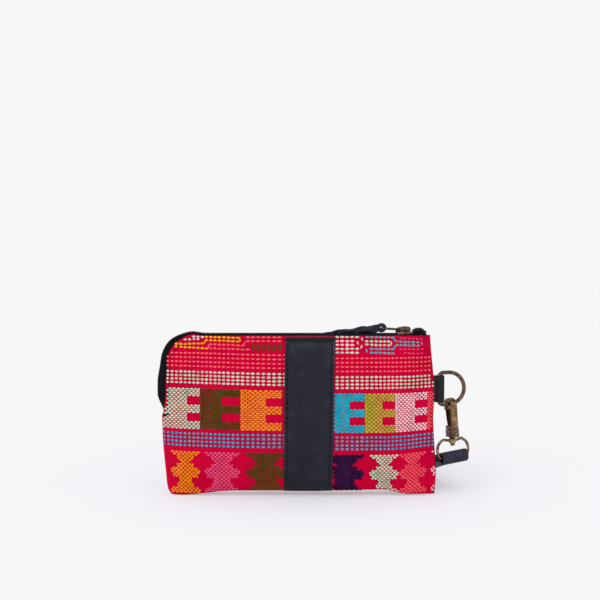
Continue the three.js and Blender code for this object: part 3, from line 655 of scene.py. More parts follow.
def woven_finish(name, deep, main, bright, thread=0.00052, depth=0.00012, roughness=0.85, sheen=0.04):
    finish = Finish(name, **{"Sheen Weight": sheen, "Sheen Roughness": 0.4, "Specular IOR Level": 0.04})
    height, over = plain_weave(finish, thread)
    warp_streak = finish.noise(finish.coordinates((1500, 45, 1), own=True), 1.0, 1.0)
    weft_streak = finish.noise(finish.coordinates((45, 1500, 1), own=True), 1.0, 1.0)
    mottle = finish.noise(finish.coordinates((38, 38, 38)), 1.0, 3.0)
    tone = finish.weighed(finish.masked(warp_streak, weft_streak, over), mottle, 0.55)
    shade = finish.ramp(tone, [(0.2, deep), (0.5, main), (0.8, bright)])
    # Painted shade: the weave's low places between the threads are darkened.
    valley_shade = finish.grey_ramp(height, (0.05, 0.62), (0.55, 1.0))
    base = finish.blend(1.0, shade, valley_shade, "MULTIPLY")
    return finish.done(base, roughness, finish.bump(height, depth, 0.9))


def thread_finish(name, main, depth=0.00008, roughness=0.7, spread=0.22):
    """Soft spun thread lying along x, with fine fibres and a little change of tone."""
    finish = Finish(name, **{"Sheen Weight": 0.04, "Sheen Roughness": 0.35, "Specular IOR Level": 0.08})
    fibres = finish.noise(finish.coordinates((420, 3000, 3000)), 1.0, 2.0, 0.6)
    mottle = finish.noise(finish.coordinates((170, 170, 170)), 1.0, 2.0)
    tone = finish.weighed(fibres, mottle, 0.55)
    deep = tuple(c * (1 - spread * 1.6) for c in main[:3]) + (1,)
    bright = tuple(min(c * (1 + spread) + 0.012, 1) for c in main[:3]) + (1,)
    base = finish.ramp(tone, [(0.32, deep), (0.5, main), (0.7, bright)])
    return finish.done(base, roughness, finish.bump(fibres, depth, 0.7))


def band_painted_light(finish):
    """Painted light and shade over the band: a painted highlight on the hem's top edge, a paler painted-light
    zone below the hem, painted shade in the hem's groove and in the side seams, and painted highlights along
    the turned edges.
    """
    where = finish.coordinates((1 / (BAND_WIDTH * MM), 8, 1), own=True)
    parts = finish.put("ShaderNodeSeparateXYZ", {0: where})
    # Painted light up the band: paler below the hem, painted shade in its groove, a painted highlight on its
    # top edge.
    up = ((0.76, 1.0), (0.85, 1.6), (0.878, 1.8), (0.8815, 0.5), (0.896, 0.5), (0.899, 2.2))
    # Painted light across the band: painted highlights on the turned edges, painted shade along the side
    # seams.
    left = ((0.0, 1.5), (0.035, 1.4), (0.05, 0.7), (0.075, 0.7), (0.1, 1.0))
    right = ((0.9, 1.0), (0.925, 0.7), (0.95, 0.7), (0.965, 1.5))
    yield finish.grey_ramp(parts.outputs["Y"], *up)
    yield finish.grey_ramp(parts.outputs["X"], *left, *right)


def leather_finish(name, dark, main, scuff, roughness=0.5, painted_light=None):
    finish = Finish(name, **{"Specular IOR Level": 0.24})
    where = finish.coordinates((1, 1, 1))
    grain = finish.put("ShaderNodeTexVoronoi", {"Vector": where, "Scale": 1500.0, "Smoothness": 0.6},
                       feature="SMOOTH_F1").outputs["Distance"]
    pores = finish.noise(where, 2600.0, 2.0)
    cloud = finish.noise(where, 62.0, 5.0, 0.62)
    rubbed = finish.noise(finish.coordinates((160, 160, 210)), 1.0, 4.0, 0.65)
    tone = finish.weighed(cloud, rubbed, 0.6)
    base = finish.ramp(tone, [(0.34, dark), (0.5, main), (0.68, scuff)])
    speck = finish.grey_ramp(pores, (0.35, 0.8), (0.6, 1.08))
    base = finish.blend(1.0, base, speck, "MULTIPLY")
    # Painted light and shade, where given, are multiplied into the leather's colour.
    for shade in painted_light(finish) if painted_light else ():
        base = finish.blend(1.0, base, shade, "MULTIPLY")
    gloss = finish.sum("MULTIPLY_ADD", tone, -0.3, roughness + 0.2)
    relief = finish.bump(cloud, 0.0004, 0.35)
    relief = finish.bump(grain, 0.00009, 0.75, relief)
    return finish.done(base, gloss, finish.bump(pores, 0.00003, 0.6, relief))


def metal_finish(name, dark, main, worn, roughness=0.34):
    finish = Finish(name, **{"Metallic": 1.0})
    where = finish.coordinates((1, 1, 1))
    cloud = finish.noise(where, 260.0, 4.0, 0.6)
    speck = finish.noise(where, 1800.0, 2.0, 0.6)
    bent = finish.put("ShaderNodeBevel", {"Radius": 0.00045}, samples=6).outputs[0]
    own = finish.put("ShaderNodeNewGeometry").outputs["Normal"]
    level = finish.put("ShaderNodeVectorMath", {0: bent, 1: own}, operation="DOT_PRODUCT").outputs["Value"]
    edge = finish.grey_ramp(finish.sum("SUBTRACT", 1.0, level), (0.005, 0.0), (0.09, 1.0))
    edge = finish.sum("MULTIPLY", edge, finish.grey_ramp(cloud, (0.3, 0.35), (0.6, 1.0)))
    tone = finish.weighed(cloud, speck, 0.7)
    base = finish.ramp(tone, [(0.36, dark), (0.52, main), (0.74, worn)])
    base = finish.blend(edge, base, worn)
    gloss = finish.sum("MULTIPLY_ADD", tone, -0.25, roughness + 0.14)
    return finish.done(base, gloss, finish.bump(speck, 0.00003, 0.6))


def coil_finish(name, main):
    finish = Finish(name, **{"Specular IOR Level": 0.2})
    where = finish.coordinates((1, 1, 1))
    tone = finish.noise(where, 900.0, 2.0)
    base = finish.ramp(tone, [(0.3, tuple(c * 0.6 for c in main[:3]) + (1,)), (0.7, main)])
    return finish.done(base, finish.sum("MULTIPLY_ADD", tone, 0.2, 0.32), finish.bump(tone, 0.00003, 0.4))


CLOTH_RED = woven_finish(
    "crimson_weave", colour(180, 0, 43), colour(218, 0, 56), colour(240, 6, 72), sheen=0.0,
)
LINING_CLOTH = woven_finish(
    "lining_weave", colour(24, 22, 28), colour(38, 34, 42), colour(52, 48, 56), 0.0004,
)
TAPE_CLOTH = woven_finish(
    "zip_tape_weave", colour(14, 13, 18), colour(26, 24, 31), colour(42, 39, 48), 0.0006,
)
# The band's leather has painted highlights and painted shade multiplied into its colour.
LEATHER = leather_finish(
    "black_leather", colour(16, 16, 25), colour(23, 23, 35), colour(37, 37, 52), painted_light=band_painted_light,
)
TAB_HIDE = leather_finish(
    "tab_leather", colour(16, 14, 19), colour(27, 24, 31), colour(44, 41, 50),
)
STRAP_HIDE = leather_finish(
    "strap_leather", colour(20, 21, 28), colour(34, 35, 45), colour(58, 59, 72),
)
THONG_HIDE = leather_finish(
    "thong_leather", colour(14, 14, 21), colour(29, 29, 41), colour(62, 62, 78), 0.36,
)
BRASS = metal_finish(
    "antique_brass", colour(72, 54, 38), colour(142, 113, 83), colour(214, 176, 122),
)
BRONZE = metal_finish(
    "antique_bronze", colour(70, 54, 46), colour(112, 90, 78), colour(170, 140, 118),
)
# A darker copy of the hook's brass for the gate: painted shade, since the gate sits recessed in shadow inside
# the hook.
SHADED_BRASS = metal_finish(
    "brass_painted_shade", colour(34, 24, 20), colour(58, 42, 34), colour(110, 84, 62),
)
PULL_BRONZE = metal_finish(
    "pull_bronze", colour(44, 31, 28), colour(88, 68, 60), colour(186, 156, 142),
)
STEEL = metal_finish(
    "spring_steel", colour(84, 84, 88), colour(140, 140, 144), colour(190, 190, 192),
)
COIL = coil_finish("coil_nylon", colour(26, 24, 31))
BLACK_THREAD = thread_finish("black_thread", colour(16, 14, 18), spread=0.3)
END_THREAD = thread_finish("end_thread", colour(58, 44, 52), spread=0.6)

THREADS = {
    "mint": colour(184, 228, 194),
    "olive": colour(84, 66, 12),
    "orange": colour(246, 146, 14),
    "yellow": colour(252, 184, 6),
    "coral": colour(247, 92, 100),
    "pink": colour(232, 84, 132),
    "blush": colour(242, 208, 208),
    "blue": colour(0, 176, 196),
    "lime": colour(180, 178, 60),
    "purple": colour(48, 8, 58),
    "mauve": colour(92, 40, 112),
    "salmon": colour(255, 112, 110),
}
THREAD_FINISHES = {name: thread_finish("thread_" + name, shade) for name, shade in THREADS.items()}


# What repeats: one tree lays small rounded forms at given places

def grain_tree():
    """Copies of a small rounded form on points that carry their own turn and size."""
    tree = bpy.data.node_groups.new("laid_grains", "GeometryNodeTree")
    face = tree.interface
    face.new_socket("Geometry", in_out="INPUT", socket_type="NodeSocketGeometry")
    for label, kind, value in (("Sides", "Int", 8), ("Rows", "Int", 4), ("Wobble", "Float", 0.0),
                               ("Seed", "Int", 1), ("Finish", "Material", None)):
        socket = face.new_socket(label, in_out="INPUT", socket_type="NodeSocket" + kind)
        if value is not None:
            socket.default_value = value
    face.new_socket("Geometry", in_out="OUTPUT", socket_type="NodeSocketGeometry")
    given = put_node(tree, "NodeGroupInput").outputs
    form = put_node(tree, "GeometryNodeMeshUVSphere",
                    {"Radius": 0.5, "Segments": given["Sides"], "Rings": given["Rows"]})
    turn, span = (put_node(tree, "GeometryNodeInputNamedAttribute", {"Name": label}, data_type="FLOAT_VECTOR")
                  for label in ("turn", "span"))
    to_turn = put_node(tree, "FunctionNodeEulerToRotation", {0: turn.outputs["Attribute"]})
    chance = put_node(tree, "FunctionNodeRandomValue", {"Seed": given["Seed"]}, data_type="FLOAT")
    numbers = [socket for socket in chance.inputs if socket.type == "VALUE"]
    low, high = [socket for socket in numbers if socket.name in ("Min", "Max")][:2]
    for socket, operation in ((low, "SUBTRACT"), (high, "ADD")):
        limit = put_node(tree, "ShaderNodeMath", {0: 1.0, 1: given["Wobble"]}, operation=operation)
        tree.links.new(limit.outputs[0], socket)
    drawn = [socket for socket in chance.outputs if socket.type == "VALUE" and socket.enabled][0]
    size = put_node(tree, "ShaderNodeVectorMath", {0: span.outputs["Attribute"], "Scale": drawn},
                    operation="SCALE")
    lay = put_node(tree, "GeometryNodeInstanceOnPoints",
                   {"Points": given["Geometry"], "Instance": form, "Rotation": to_turn, "Scale": size})
    real = put_node(tree, "GeometryNodeRealizeInstances", {0: lay})
    soft = put_node(tree, "GeometryNodeSetShadeSmooth", {0: real})
    coat = put_node(tree, "GeometryNodeSetMaterial", {"Geometry": soft, "Material": given["Finish"]})
    put_node(tree, "NodeGroupOutput", {0: coat})
    return tree


GRAINS = grain_tree()


def turns_of(along, rise):
    """Turns whose x lies along and whose z is nearest to rise."""
    along = unit(np.asarray(along, float))
    side = unit(np.cross(rise, along))
    rise = np.cross(along, side)
    return np.array([Matrix((a, s, r)).transposed().to_euler() for a, s, r in zip(along, side, rise)])


def lay_grains(name, spots, along, rise, spans, finish, sides=8, rows=4, wobble=0.0, seed=1):
    """A piece made of small rounded forms. spans are each one's length, width and height in millimetres."""
    spots = np.asarray(spots, float)
    spans = np.broadcast_to(np.asarray(spans, float), spots.shape)
    cloud = bpy.data.meshes.new(name)
    cloud.from_pydata(to_part(spots).tolist(), [], [])
    for label, values in (("turn", turns_of(along, rise)), ("span", spans * MM)):
        layer = cloud.attributes.new(label, "FLOAT_VECTOR", "POINT")
        layer.data.foreach_set("vector", np.ascontiguousarray(values, float).ravel())
    piece = placed(name, cloud)
    laid = piece.modifiers.new("grains", "NODES")
    laid.node_group = GRAINS
    wanted = {"Sides": sides, "Rows": rows, "Wobble": wobble, "Seed": seed, "Finish": finish}
    for socket in GRAINS.interface.items_tree:
        if socket.in_out == "INPUT" and socket.name in wanted:
            laid[socket.identifier] = wanted[socket.name]
    return applied(piece)


def tell(piece, body, slot, *nodes):
    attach(piece, body)
    if nodes:
        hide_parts(*nodes)
    return piece


# Cloth panels

CLOTH_COLUMNS = 170
CLOTH_ROWS = 110


def cloth_panel(side, label):
    shares = (np.sin(np.linspace(-1, 1, CLOTH_COLUMNS) * 1.35) / math.sin(1.35) + 1) / 2
    rows = np.concatenate([np.linspace(0, UNDERSIDE_SHARE, 7)[:-1],
                           np.linspace(UNDERSIDE_SHARE, 1, CLOTH_ROWS)])
    u, v = np.meshgrid(shares, rows, indexing="ij")
    level = POUCH_HEIGHT * climb_of(v)
    x = mix(left_edge(level), right_edge(level), u)
    outer = cloth_at(side, x, v)
    x_in = np.clip(x, left_edge(level) + 0.5, right_edge(level) - 0.5)
    inner = cloth_at(side, x_in, np.clip(v, 0.004, 0.996), -1.1)
    inner[..., 1] = side * np.maximum(inner[..., 1] * side, SEAM_HALF_GAP)
    uv = np.stack([x, np.where(v < UNDERSIDE_SHARE, -side * outer[..., 1], outer[..., 2])], axis=-1)
    panel = slab(f"woven_{label}", outer, inner, CLOTH_RED, uv)
    tell(panel, "pouch", "cloth", f"{label}_panel")


for side, label in SIDES:
    cloth_panel(side, label)


# Brocade: coloured threads laid over the red ground

WARP_X = (-98, -58, -48, -24, 24, 48, 56, 98)
WARP_PITCHES = (3.06, 3.0, 3.35, 3.8, 3.6, 3.4, 2.9, 2.86)  # the weave is pulled wider in the middle
WEFT_PITCH = 1.46
DASH_HEIGHT = 0.9
MESH_HEIGHT = 1.15
LEVELS = (0, 25, 40, 49, 78, 95)
DIPS = (0.6, 2.0, 2.8, 2.6, 4.0, 4.0)
FLOATS = {  # share of a warp step that a float covers, and its width
    "mint": (0.84, 1.46),
    "pink": (0.84, 1.46),
    "coral": (0.84, 1.46),
    "blush": (0.84, 1.44),
    "orange": (0.9, 1.54),
    "lime": (0.92, 1.56),
    "olive": (1.04, 1.72),
    "purple": (1.12, 1.95),
    "blue": (1.0, 1.72),
}


def warp_grid():
    """Places of the warp's steps across the cloth."""
    places = [-97.7]
    while places[-1] < 99:
        places.append(places[-1] + float(np.interp(places[-1], WARP_X, WARP_PITCHES)))
    return np.array(places)


WARP = warp_grid()
PITCHES = np.gradient(WARP)
WARP_EDGES = np.concatenate([WARP[:1] - 1.5, (WARP[1:] + WARP[:-1]) / 2, WARP[-1:] + 1.5])


def dip(x, level):
    """How far a row of the weave hangs below its height at the left seam."""
    run = 0.45 * smooth(x, LEFT_EDGE, -10) + 0.55 * smooth(x, -10, 26)
    lift = smooth(x, 66, 95) * np.interp(level, (0, 40, 80, 100), (1.5, 1.5, 0.4, 0))
    return run * np.interp(level, LEVELS, DIPS) - lift


class Threads:
    """Collects the floats of one side, by colour."""

    def __init__(self, side):
        self.side = side
        self.rows = {name: [] for name in THREADS}
        self.chance = np.random.default_rng(7 + side)

    def add(self, name, x, z, length, width, height, lean=0.0):
        self.rows[name].append((x, z, length, width, height, lean))

    def dashes(self, name, x0, x1, z0, z1=None, width=1.6):
        """A row of dashes on the warp's steps from x0 to x1, at heights z0 to z1."""
        z1 = z0 if z1 is None else z1
        for x, pitch in zip(WARP, PITCHES):
            if x0 <= x <= x1:
                z = mix(z0, z1, (x - x0) / (x1 - x0)) + self.chance.uniform(-0.08, 0.08)
                length = pitch * 0.86 * self.chance.uniform(0.93, 1.06)
                self.add(name, x + self.chance.uniform(-0.12, 0.12), z, length,
                         width * self.chance.uniform(0.9, 1.06), DASH_HEIGHT)

    def link(self, name, x, low, high, lean=90, width=1.1):
        """An upright thread that joins two rows."""
        self.add(name, x, (low + high) / 2, high - low + 0.8, width, DASH_HEIGHT, math.radians(lean))

    def band(self, name, levels, width, link=None):
        """Rows of dashes right across. A link is the name and width of a thread sunk between the dashes."""
        for level in levels:
            for x, pitch in zip(WARP, PITCHES):
                z = level - float(dip(x, level)) + self.chance.uniform(-0.07, 0.07)
                length = pitch * 0.79 * self.chance.uniform(0.9, 1.08)
                self.add(name, x + self.chance.uniform(-0.1, 0.1), z, length,
                         width * self.chance.uniform(0.9, 1.06), DASH_HEIGHT)
                if link:
                    self.add(link[0], x + pitch / 2, z, pitch * 0.8, link[1], 0.3)

    def figure(self, name, x0, x1, low, rows, run_of):
        """A filled figure on whole warp steps. Each row of floats lies half a step off the last."""
        first, last = (int(np.argmin(np.abs(WARP_EDGES - x))) for x in (x0, x1))
        share, width = FLOATS[name]
        for row in range(rows):
            start, end = run_of((row + 0.5) / rows, last - first)
            steps = np.arange(0, last - first + 1) + row % 2 / 2
            cuts = np.concatenate([[start], steps[(steps > start) & (steps < end)], [end]])
            edges = np.interp(first + cuts, range(len(WARP_EDGES)), WARP_EDGES)
            level = low + (row + 0.5) * WEFT_PITCH
            for left, right in zip(edges[:-1], edges[1:]):
                x, room = (left + right) / 2, right - left
                z = level - float(dip(x, level)) + self.chance.uniform(-0.05, 0.05)
                length = room * share + (0.3 if room < 2.2 else 0)
                self.add(name, x, z, length * self.chance.uniform(0.94, 1.05),
                         width * self.chance.uniform(0.94, 1.06), MESH_HEIGHT)

    def lay(self):
        """Lays all the floats on the cloth."""
        label = dict(SIDES)[self.side]
        for name, rows in self.rows.items():
            rows = np.array(rows)
            if not len(rows):
                continue
            x, z = rows[:, 0] * -self.side, rows[:, 1]
            keep = (x > left_edge(z) + 1.0) & (x < right_edge(z) - 0.7)
            keep &= (z < CLOTH_TOP - 0.6) & (z > bottom_height(x, self.side) + 0.5)
            if self.side < 0:
                keep &= np.abs(x - BAND_CENTRE_X) > BAND_WIDTH / 2 - 0.9
            rows, x, z = rows[keep], x[keep], z[keep]
            inward, upward = corner_pull(x, z)
            x, z = x - inward, z - upward
            v = row_at(x, z, self.side)
            spots = cloth_at(self.side, x, v, 0.06)
            ahead = cloth_at(self.side, x + 0.3, row_at(x + 0.3, z, self.side), 0.06)
            normal = cloth_normal(self.side, x, v)
            along = unit(ahead - spots)
            lean = rows[:, 5:6]
            side_way = np.cross(normal, along)
            along = along * np.cos(lean) + side_way * np.sin(lean)
            floats = lay_grains(f"floats_{label}_{name}", spots, along, normal, rows[:, 2:5],
                                THREAD_FINISHES[name], wobble=0.04, seed=11)
            tell(floats, "pouch", "cloth")


COMB_LOW, COMB_ROWS = 48.3, 20
GLASS_LOW = 1.9
# How many half steps each row of an hourglass is drawn in, lowest row first
GLASS_STEPS = (0, 0, 1, 3, 3, 4, 4, 4, 1, 1, 0, 0, 1, 3, 3, 5, 4, 3, 3, 1, 0)


def comb(stem):
    """A three-pronged comb: a stem on the left and three arms. stem is its share of the width."""
    return lambda up, steps: (0, steps if int(up * 5) % 2 == 0 else max(round(steps * stem), 1))


def hourglass(up, steps):
    """A stepped double hourglass: wide, waisted, wide, waisted, wide."""
    inset = GLASS_STEPS[int(up * len(GLASS_STEPS))] / 2
    return inset, steps - inset


def plain_rows(threads):
    threads.band("salmon", (102.0, 99.0, 96.0, 92.9), 1.25)
    threads.band("mint", (88.9, 86.3, 83.8, 81.3), 1.65)
    threads.band("blue", (45.2, 42.4, 39.6, 36.8), 1.55, ("mauve", 1.5))


front = Threads(-1)
plain_rows(front)
for name, x0, stem, x1 in (
    ("mint", -99.0, -79.0, -68.8),
    ("olive", -68.8, -52.1, -40.6),
    ("orange", -40.6, -21.7, -11.0),
    ("blue", 22.0, 36.3, 46.7),
    ("lime", 46.7, 59.5, 68.2),
    ("blush", 68.2, 82.7, 91.2),
):
    front.figure(name, x0, x1, COMB_LOW, COMB_ROWS, comb((stem - x0) / (x1 - x0)))
front.figure("coral", 91.2, 99.0, COMB_LOW, COMB_ROWS, comb(0.9))
for name, middle, half in (
    ("orange", -79.4, 10.6),
    ("pink", -53.2, 12.6),
    ("olive", -22.2, 14.9),
    ("purple", 32.6, 14.1),
    ("mint", 60.6, 10.5),
    ("coral", 81.2, 10.1),
    ("blush", 103.4, 9.8),
):
    front.figure(name, middle - half, middle + half, GLASS_LOW, len(GLASS_STEPS), hourglass)
for name, x0, x1, z0, z1 in (
    ("blush", -74.4, -66.4, 113.0, 112.8),
    ("blush", -83.6, -67.6, 111.4, 111.3),
    ("yellow", -64.9, -42.0, 112.9, 112.2),
    ("yellow", -64.9, -42.0, 110.9, 109.8),
    ("yellow", -87.0, -66.4, 108.2, 108.3),
    ("yellow", -86.0, -64.0, 106.3, 104.9),
    ("coral", -61.4, -37.8, 107.8, 106.9),
    ("coral", -61.4, -34.0, 105.0, 104.0),
    ("coral", -36.4, -10.4, 112.6, 112.5),
    ("coral", -36.4, -12.4, 110.1, 110.0),
    ("olive", -33.6, -9.6, 106.9, 106.7),
    ("olive", -33.6, -10.6, 104.3, 104.2),
    ("mint", 26.4, 44.0, 112.8, 112.8),
    ("blush", 26.4, 41.0, 110.0, 110.0),
    ("blush", 26.4, 41.0, 107.4, 107.4),
    ("mint", 26.4, 43.8, 104.6, 104.6),
    ("mint", 26.4, 43.8, 102.0, 101.9),
    ("mint", 45.6, 64.8, 110.0, 109.7),
    ("mint", 45.6, 64.8, 107.7, 106.9),
    ("blue", 46.6, 67.2, 112.8, 112.3),
    ("blue", 68.8, 86.0, 109.8, 109.0),
    ("blue", 68.8, 86.0, 107.1, 106.7),
    ("blue", 48.8, 67.2, 104.6, 104.3),
    ("blue", 48.8, 69.0, 102.1, 101.2),
):
    front.dashes(name, x0, x1, z0, z1, 2.05 if name == "olive" else 1.6)
for x0, z0, z1 in ((70.4, 111.9, 111.2), (72.0, 104.2, 104.2), (73.4, 101.5, 100.9)):
    front.dashes("pink", x0, 88.6, z0, z1, 1.0)
for name, x, low, high, lean in (
    ("yellow", -65.4, 108.6, 110.6, 78),
    ("yellow", -40.8, 109.9, 112.0, 100),
    ("coral", -37.6, 107.2, 109.8, 70),
    ("coral", -62.9, 105.4, 107.6, 95),
    ("mint", 45.0, 110.4, 112.4, 100),
    ("mint", 65.6, 107.2, 109.4, 96),
    ("mint", 44.6, 104.9, 107.2, 70),
    ("blush", 42.0, 107.7, 109.8, 96),
    ("blue", 67.9, 110.1, 111.8, 118),
    ("blue", 86.9, 107.1, 108.8, 110),
    ("blue", 67.9, 104.6, 106.6, 70),
    ("blue", 48.2, 102.3, 104.3, 110),
):
    front.link(name, x, low, high, lean)
front.link("blush", 34.4, 102.4, 110.8, 88, 0.7)
for z in (51.6, 49.8):
    front.link("orange", -94.9, z - 0.4, z + 0.4)
front.lay()

back = Threads(1)
plain_rows(back)
BACK_WIDTH = 27.6
for place, name in enumerate(("coral", "blue", "lime", "blush", "mint", "olive", "orange")):
    x0 = -97.0 + place * (BACK_WIDTH + 0.5)
    back.figure(name, x0, x0 + BACK_WIDTH, COMB_LOW, COMB_ROWS, comb(0.6))
for place, name in enumerate(("mint", "purple", "orange", "pink", "olive", "coral", "blue")):
    x0 = -98.0 + place * 28.4
    back.figure(name, x0, x0 + 23.6, GLASS_LOW, len(GLASS_STEPS), hourglass)
for place, name in enumerate(("mint", "blush", "yellow", "coral", "olive", "blue", "pink", "yellow")):
    x0 = -90.0 + place * 23.0
    rise = 4.9 * (place % 2)
    back.dashes(name, x0, x0 + 19.6, 107.3 + rise)
    back.dashes(name, x0, x0 + 19.6, 104.8 + rise)
    back.link(name, x0 + 20.4, 105.0 + rise, 107.0 + rise)
back.lay()


# Leather band with its stitches

def band_row(share):
    """The band's rows: into the bottom seam, up the front, and to its hem at the top."""
    return mix(UNDERSIDE_SHARE * 0.3, 0.988, share)


def band_x(across, share):
    return mix(mix(*BAND_LEFT, share), mix(*BAND_RIGHT, share), across)


def band_fullness(share):
    """The leather is pared thin where it goes under the pouch."""
    return 0.1 + 0.9 * smooth(share, 0.09, 0.16)


def leather_band():
    edge = np.array([0, 0.05, 0.16, 0.34, 0.6, 1.0])
    columns = np.concatenate([edge * 0.03, np.linspace(0.05, 0.95, 34), 1 - edge[::-1] * 0.03])
    away = np.minimum(columns, 1 - columns) * BAND_WIDTH
    lip = BAND_THICKNESS * np.sqrt(np.clip(1 - (1 - np.clip(away / 0.6, 0, 1)) ** 2, 0, 1))
    shares = np.concatenate([[0.0, 0.004], np.linspace(0.01, 0.99, 120), [0.996, 1.0]])
    u, share = np.meshgrid(columns, shares, indexing="ij")
    v = band_row(share)
    x = band_x(u, share)
    end = np.minimum(smooth(share, -0.004, 0.006), smooth(1 - share, -0.004, 0.006))
    height = np.clip(lip[:, None], 0.25, None) * end
    hem = smooth(share, 0.966, 0.971)
    stitch_dent = np.exp(-(((np.minimum(u, 1 - u) * BAND_WIDTH - STITCH_INSET) / 0.45) ** 2)) * 0.3
    height = height * band_fullness(share)
    height = height + hem * 0.7 * (lip[:, None] > 0.4) - stitch_dent * (1 - hem)
    height = height + 0.10 * np.sin(x * 0.35 + share * 9) * np.sin(share * 31 + x * 0.1)
    outer = cloth_at(-1, x, v, CLEARANCE + height)
    inner = cloth_at(-1, x, v, 0.05)
    uv = np.stack([u * BAND_WIDTH, outer[..., 2]], axis=-1)
    band = slab("leather_strip", outer, inner, LEATHER, uv)
    tell(band, "pouch", "leather", "leather_band")


def band_place(across, share, off):
    x = band_x(across, share)
    return cloth_at(-1, x, band_row(share), off), cloth_normal(-1, x, band_row(share))


def band_stitches():
    spots, along, rise = [], [], []
    inset = STITCH_INSET / BAND_WIDTH
    samples = 600
    for across in (inset, 1 - inset):
        fine = np.linspace(0.12, 0.945, samples)
        lift = CLEARANCE + BAND_THICKNESS * band_fullness(fine) - 0.02
        line, normal = band_place(np.full(samples, across), fine, lift)
        run = run_along(line)
        for distance in np.arange(STITCH_PITCH / 2, run[-1], STITCH_PITCH):
            k = int(np.clip(np.searchsorted(run, distance), 1, samples - 2))
            spots.append(line[k])
            along.append(line[k + 1] - line[k - 1])
            rise.append(normal[k])
    count = int((BAND_WIDTH - 2 * STITCH_INSET) / STITCH_PITCH)
    for k in range(count):
        across = inset + (k + 0.5) / count * (1 - 2 * inset)
        spot, normal = band_place(across, 0.938, CLEARANCE + BAND_THICKNESS - 0.02)
        spots.append(spot)
        along.append(np.array([1.0, 0, 0]))
        rise.append(normal)
    stitches = lay_grains("band_stitches", spots, along, np.array(rise), (2.5, 0.8, 0.5),
                          BLACK_THREAD, wobble=0.05)
    tell(stitches, "pouch", "leather")


leather_band()
band_stitches()


# Zip: tape, coils, ends and topstitching

CORNER_X = LEFT_EDGE + CORNER_RADIUS
CORNER_Z = POUCH_HEIGHT - CORNER_RADIUS
TOP_RUN = ZIP_RIGHT_END - CORNER_X
CORNER_RUN = math.pi / 2 * CORNER_RADIUS
SIDE_RUN = CORNER_Z - ZIP_LOW_END
ZIP_RUN = TOP_RUN + CORNER_RUN + SIDE_RUN


def zip_place(s):
    """Place on the cloth's edge at a share s: x, z, outward direction and the teeth's height on it."""
    run = np.asarray(s, float) * ZIP_RUN
    turn = np.clip((run - TOP_RUN) / CORNER_RADIUS, 0, math.pi / 2)
    down = np.maximum(run - TOP_RUN - CORNER_RUN, 0)
    along = np.minimum(run, TOP_RUN)
    out_x, out_z = -np.sin(turn), np.cos(turn)
    x = np.where(run < TOP_RUN, ZIP_RIGHT_END - along, CORNER_X + out_x * CORNER_RADIUS)
    z = CORNER_Z + out_z * CORNER_RADIUS - down
    low_stand = mix(0.6, CHAIN_SIDE, smooth(z, ZIP_LOW_END - 2, ZIP_LOW_END - 2 + ZIP_LOW_TAPER))
    stand = np.where(down > 0, low_stand, mix(CHAIN_TOP, CHAIN_SIDE, smooth(turn, 0, 1)))
    return x, z, out_x, out_z, stand


def beside_zip(s, out, y):
    x, z, out_x, out_z = zip_place(s)[:4]
    y = np.broadcast_to(y, np.shape(x + out))
    inward, upward = corner_pull(x, z)
    return np.stack([x + out_x * out + inward, y, z + out_z * out + upward], axis=-1)


def zip_tape(side, label):
    s, share = np.meshgrid(np.linspace(0, 1, 260), np.linspace(0, 1, 16), indexing="ij")
    stand = zip_place(s)[4]
    rise = stand - 1.3
    out = np.where(share < 0.5, mix(-TAPE_TURN_IN, 0.2, share / 0.5), mix(0.2, rise, (share - 0.5) / 0.5))
    bulge = smooth(share, 0.35, 1.0)
    y = mix(ZIP_HALF_OPENING - CLOTH - 0.2, COIL_HALF_WIDTH + 0.75, bulge)
    y = y + 0.1 * np.sin(s * 210 + side) * bulge * (1 - bulge) * 4
    outer = beside_zip(s, out, side * y)
    inner = beside_zip(s, out - 0.25 * bulge, side * (y - 0.6))
    uv = np.stack([s * ZIP_RUN, share * 9], axis=-1)
    tape = slab(f"tape_cloth_{label}", outer, inner, TAPE_CLOTH, uv)
    tell(tape, "pouch", "tape", f"zip_tape_{label}")


def zip_coil(side, label):
    """The teeth: a long loop each with a short crown on it. The two sides lie half a step apart."""
    offset = 0.0 if side < 0 else 0.5
    count = int(ZIP_RUN / COIL_PITCH)
    s = (np.arange(count) + 0.5 + offset) / count
    s = s[s < 1]
    out_x, out_z, stand = zip_place(s)[2:]
    out = np.stack([out_x, 0 * out_x, out_z], axis=-1)
    loop_middle = mix(0.75, COIL_HALF_WIDTH, 0.42)
    crown_middle = COIL_HALF_WIDTH - 0.3
    spots, spans, along = [], [], []
    for reach, width, length, middle, lean in ((0.55, 1.05, 3.2, loop_middle, 0.0),
                                               (0.72, 0.8, 1.5, crown_middle, 0.55)):
        spots.append(beside_zip(s, stand - reach, side * middle))
        spans.append(np.broadcast_to((length, COIL_PITCH * 0.8, width * 1.25), (len(s), 3)))
        along.append(np.broadcast_to((0.0, 1.0, 0.0), (len(s), 3)) - out * lean * side)
    spots, spans, along = (np.concatenate(rows) for rows in (spots, spans, along))
    rise = np.concatenate([out, out])
    coil = lay_grains(f"coil_{label}", spots, along, rise, spans, COIL, sides=8, rows=6)
    tell(coil, "pouch", "teeth", f"zip_teeth_{label}")


def zip_core(side, label):
    """The cord that the coil is sewn round."""
    s = np.linspace(0, 1, 240)
    stand = zip_place(s)[4]
    path = beside_zip(s, stand - 0.8, side * 2.2)
    core = sweep(f"coil_cord_{label}", path, round_section(0.72, 8), (0, 1, 0), TAPE_CLOTH)
    tell(core, "pouch", "tape")


for side, label in SIDES:
    zip_tape(side, label)
    zip_coil(side, label)
    zip_core(side, label)


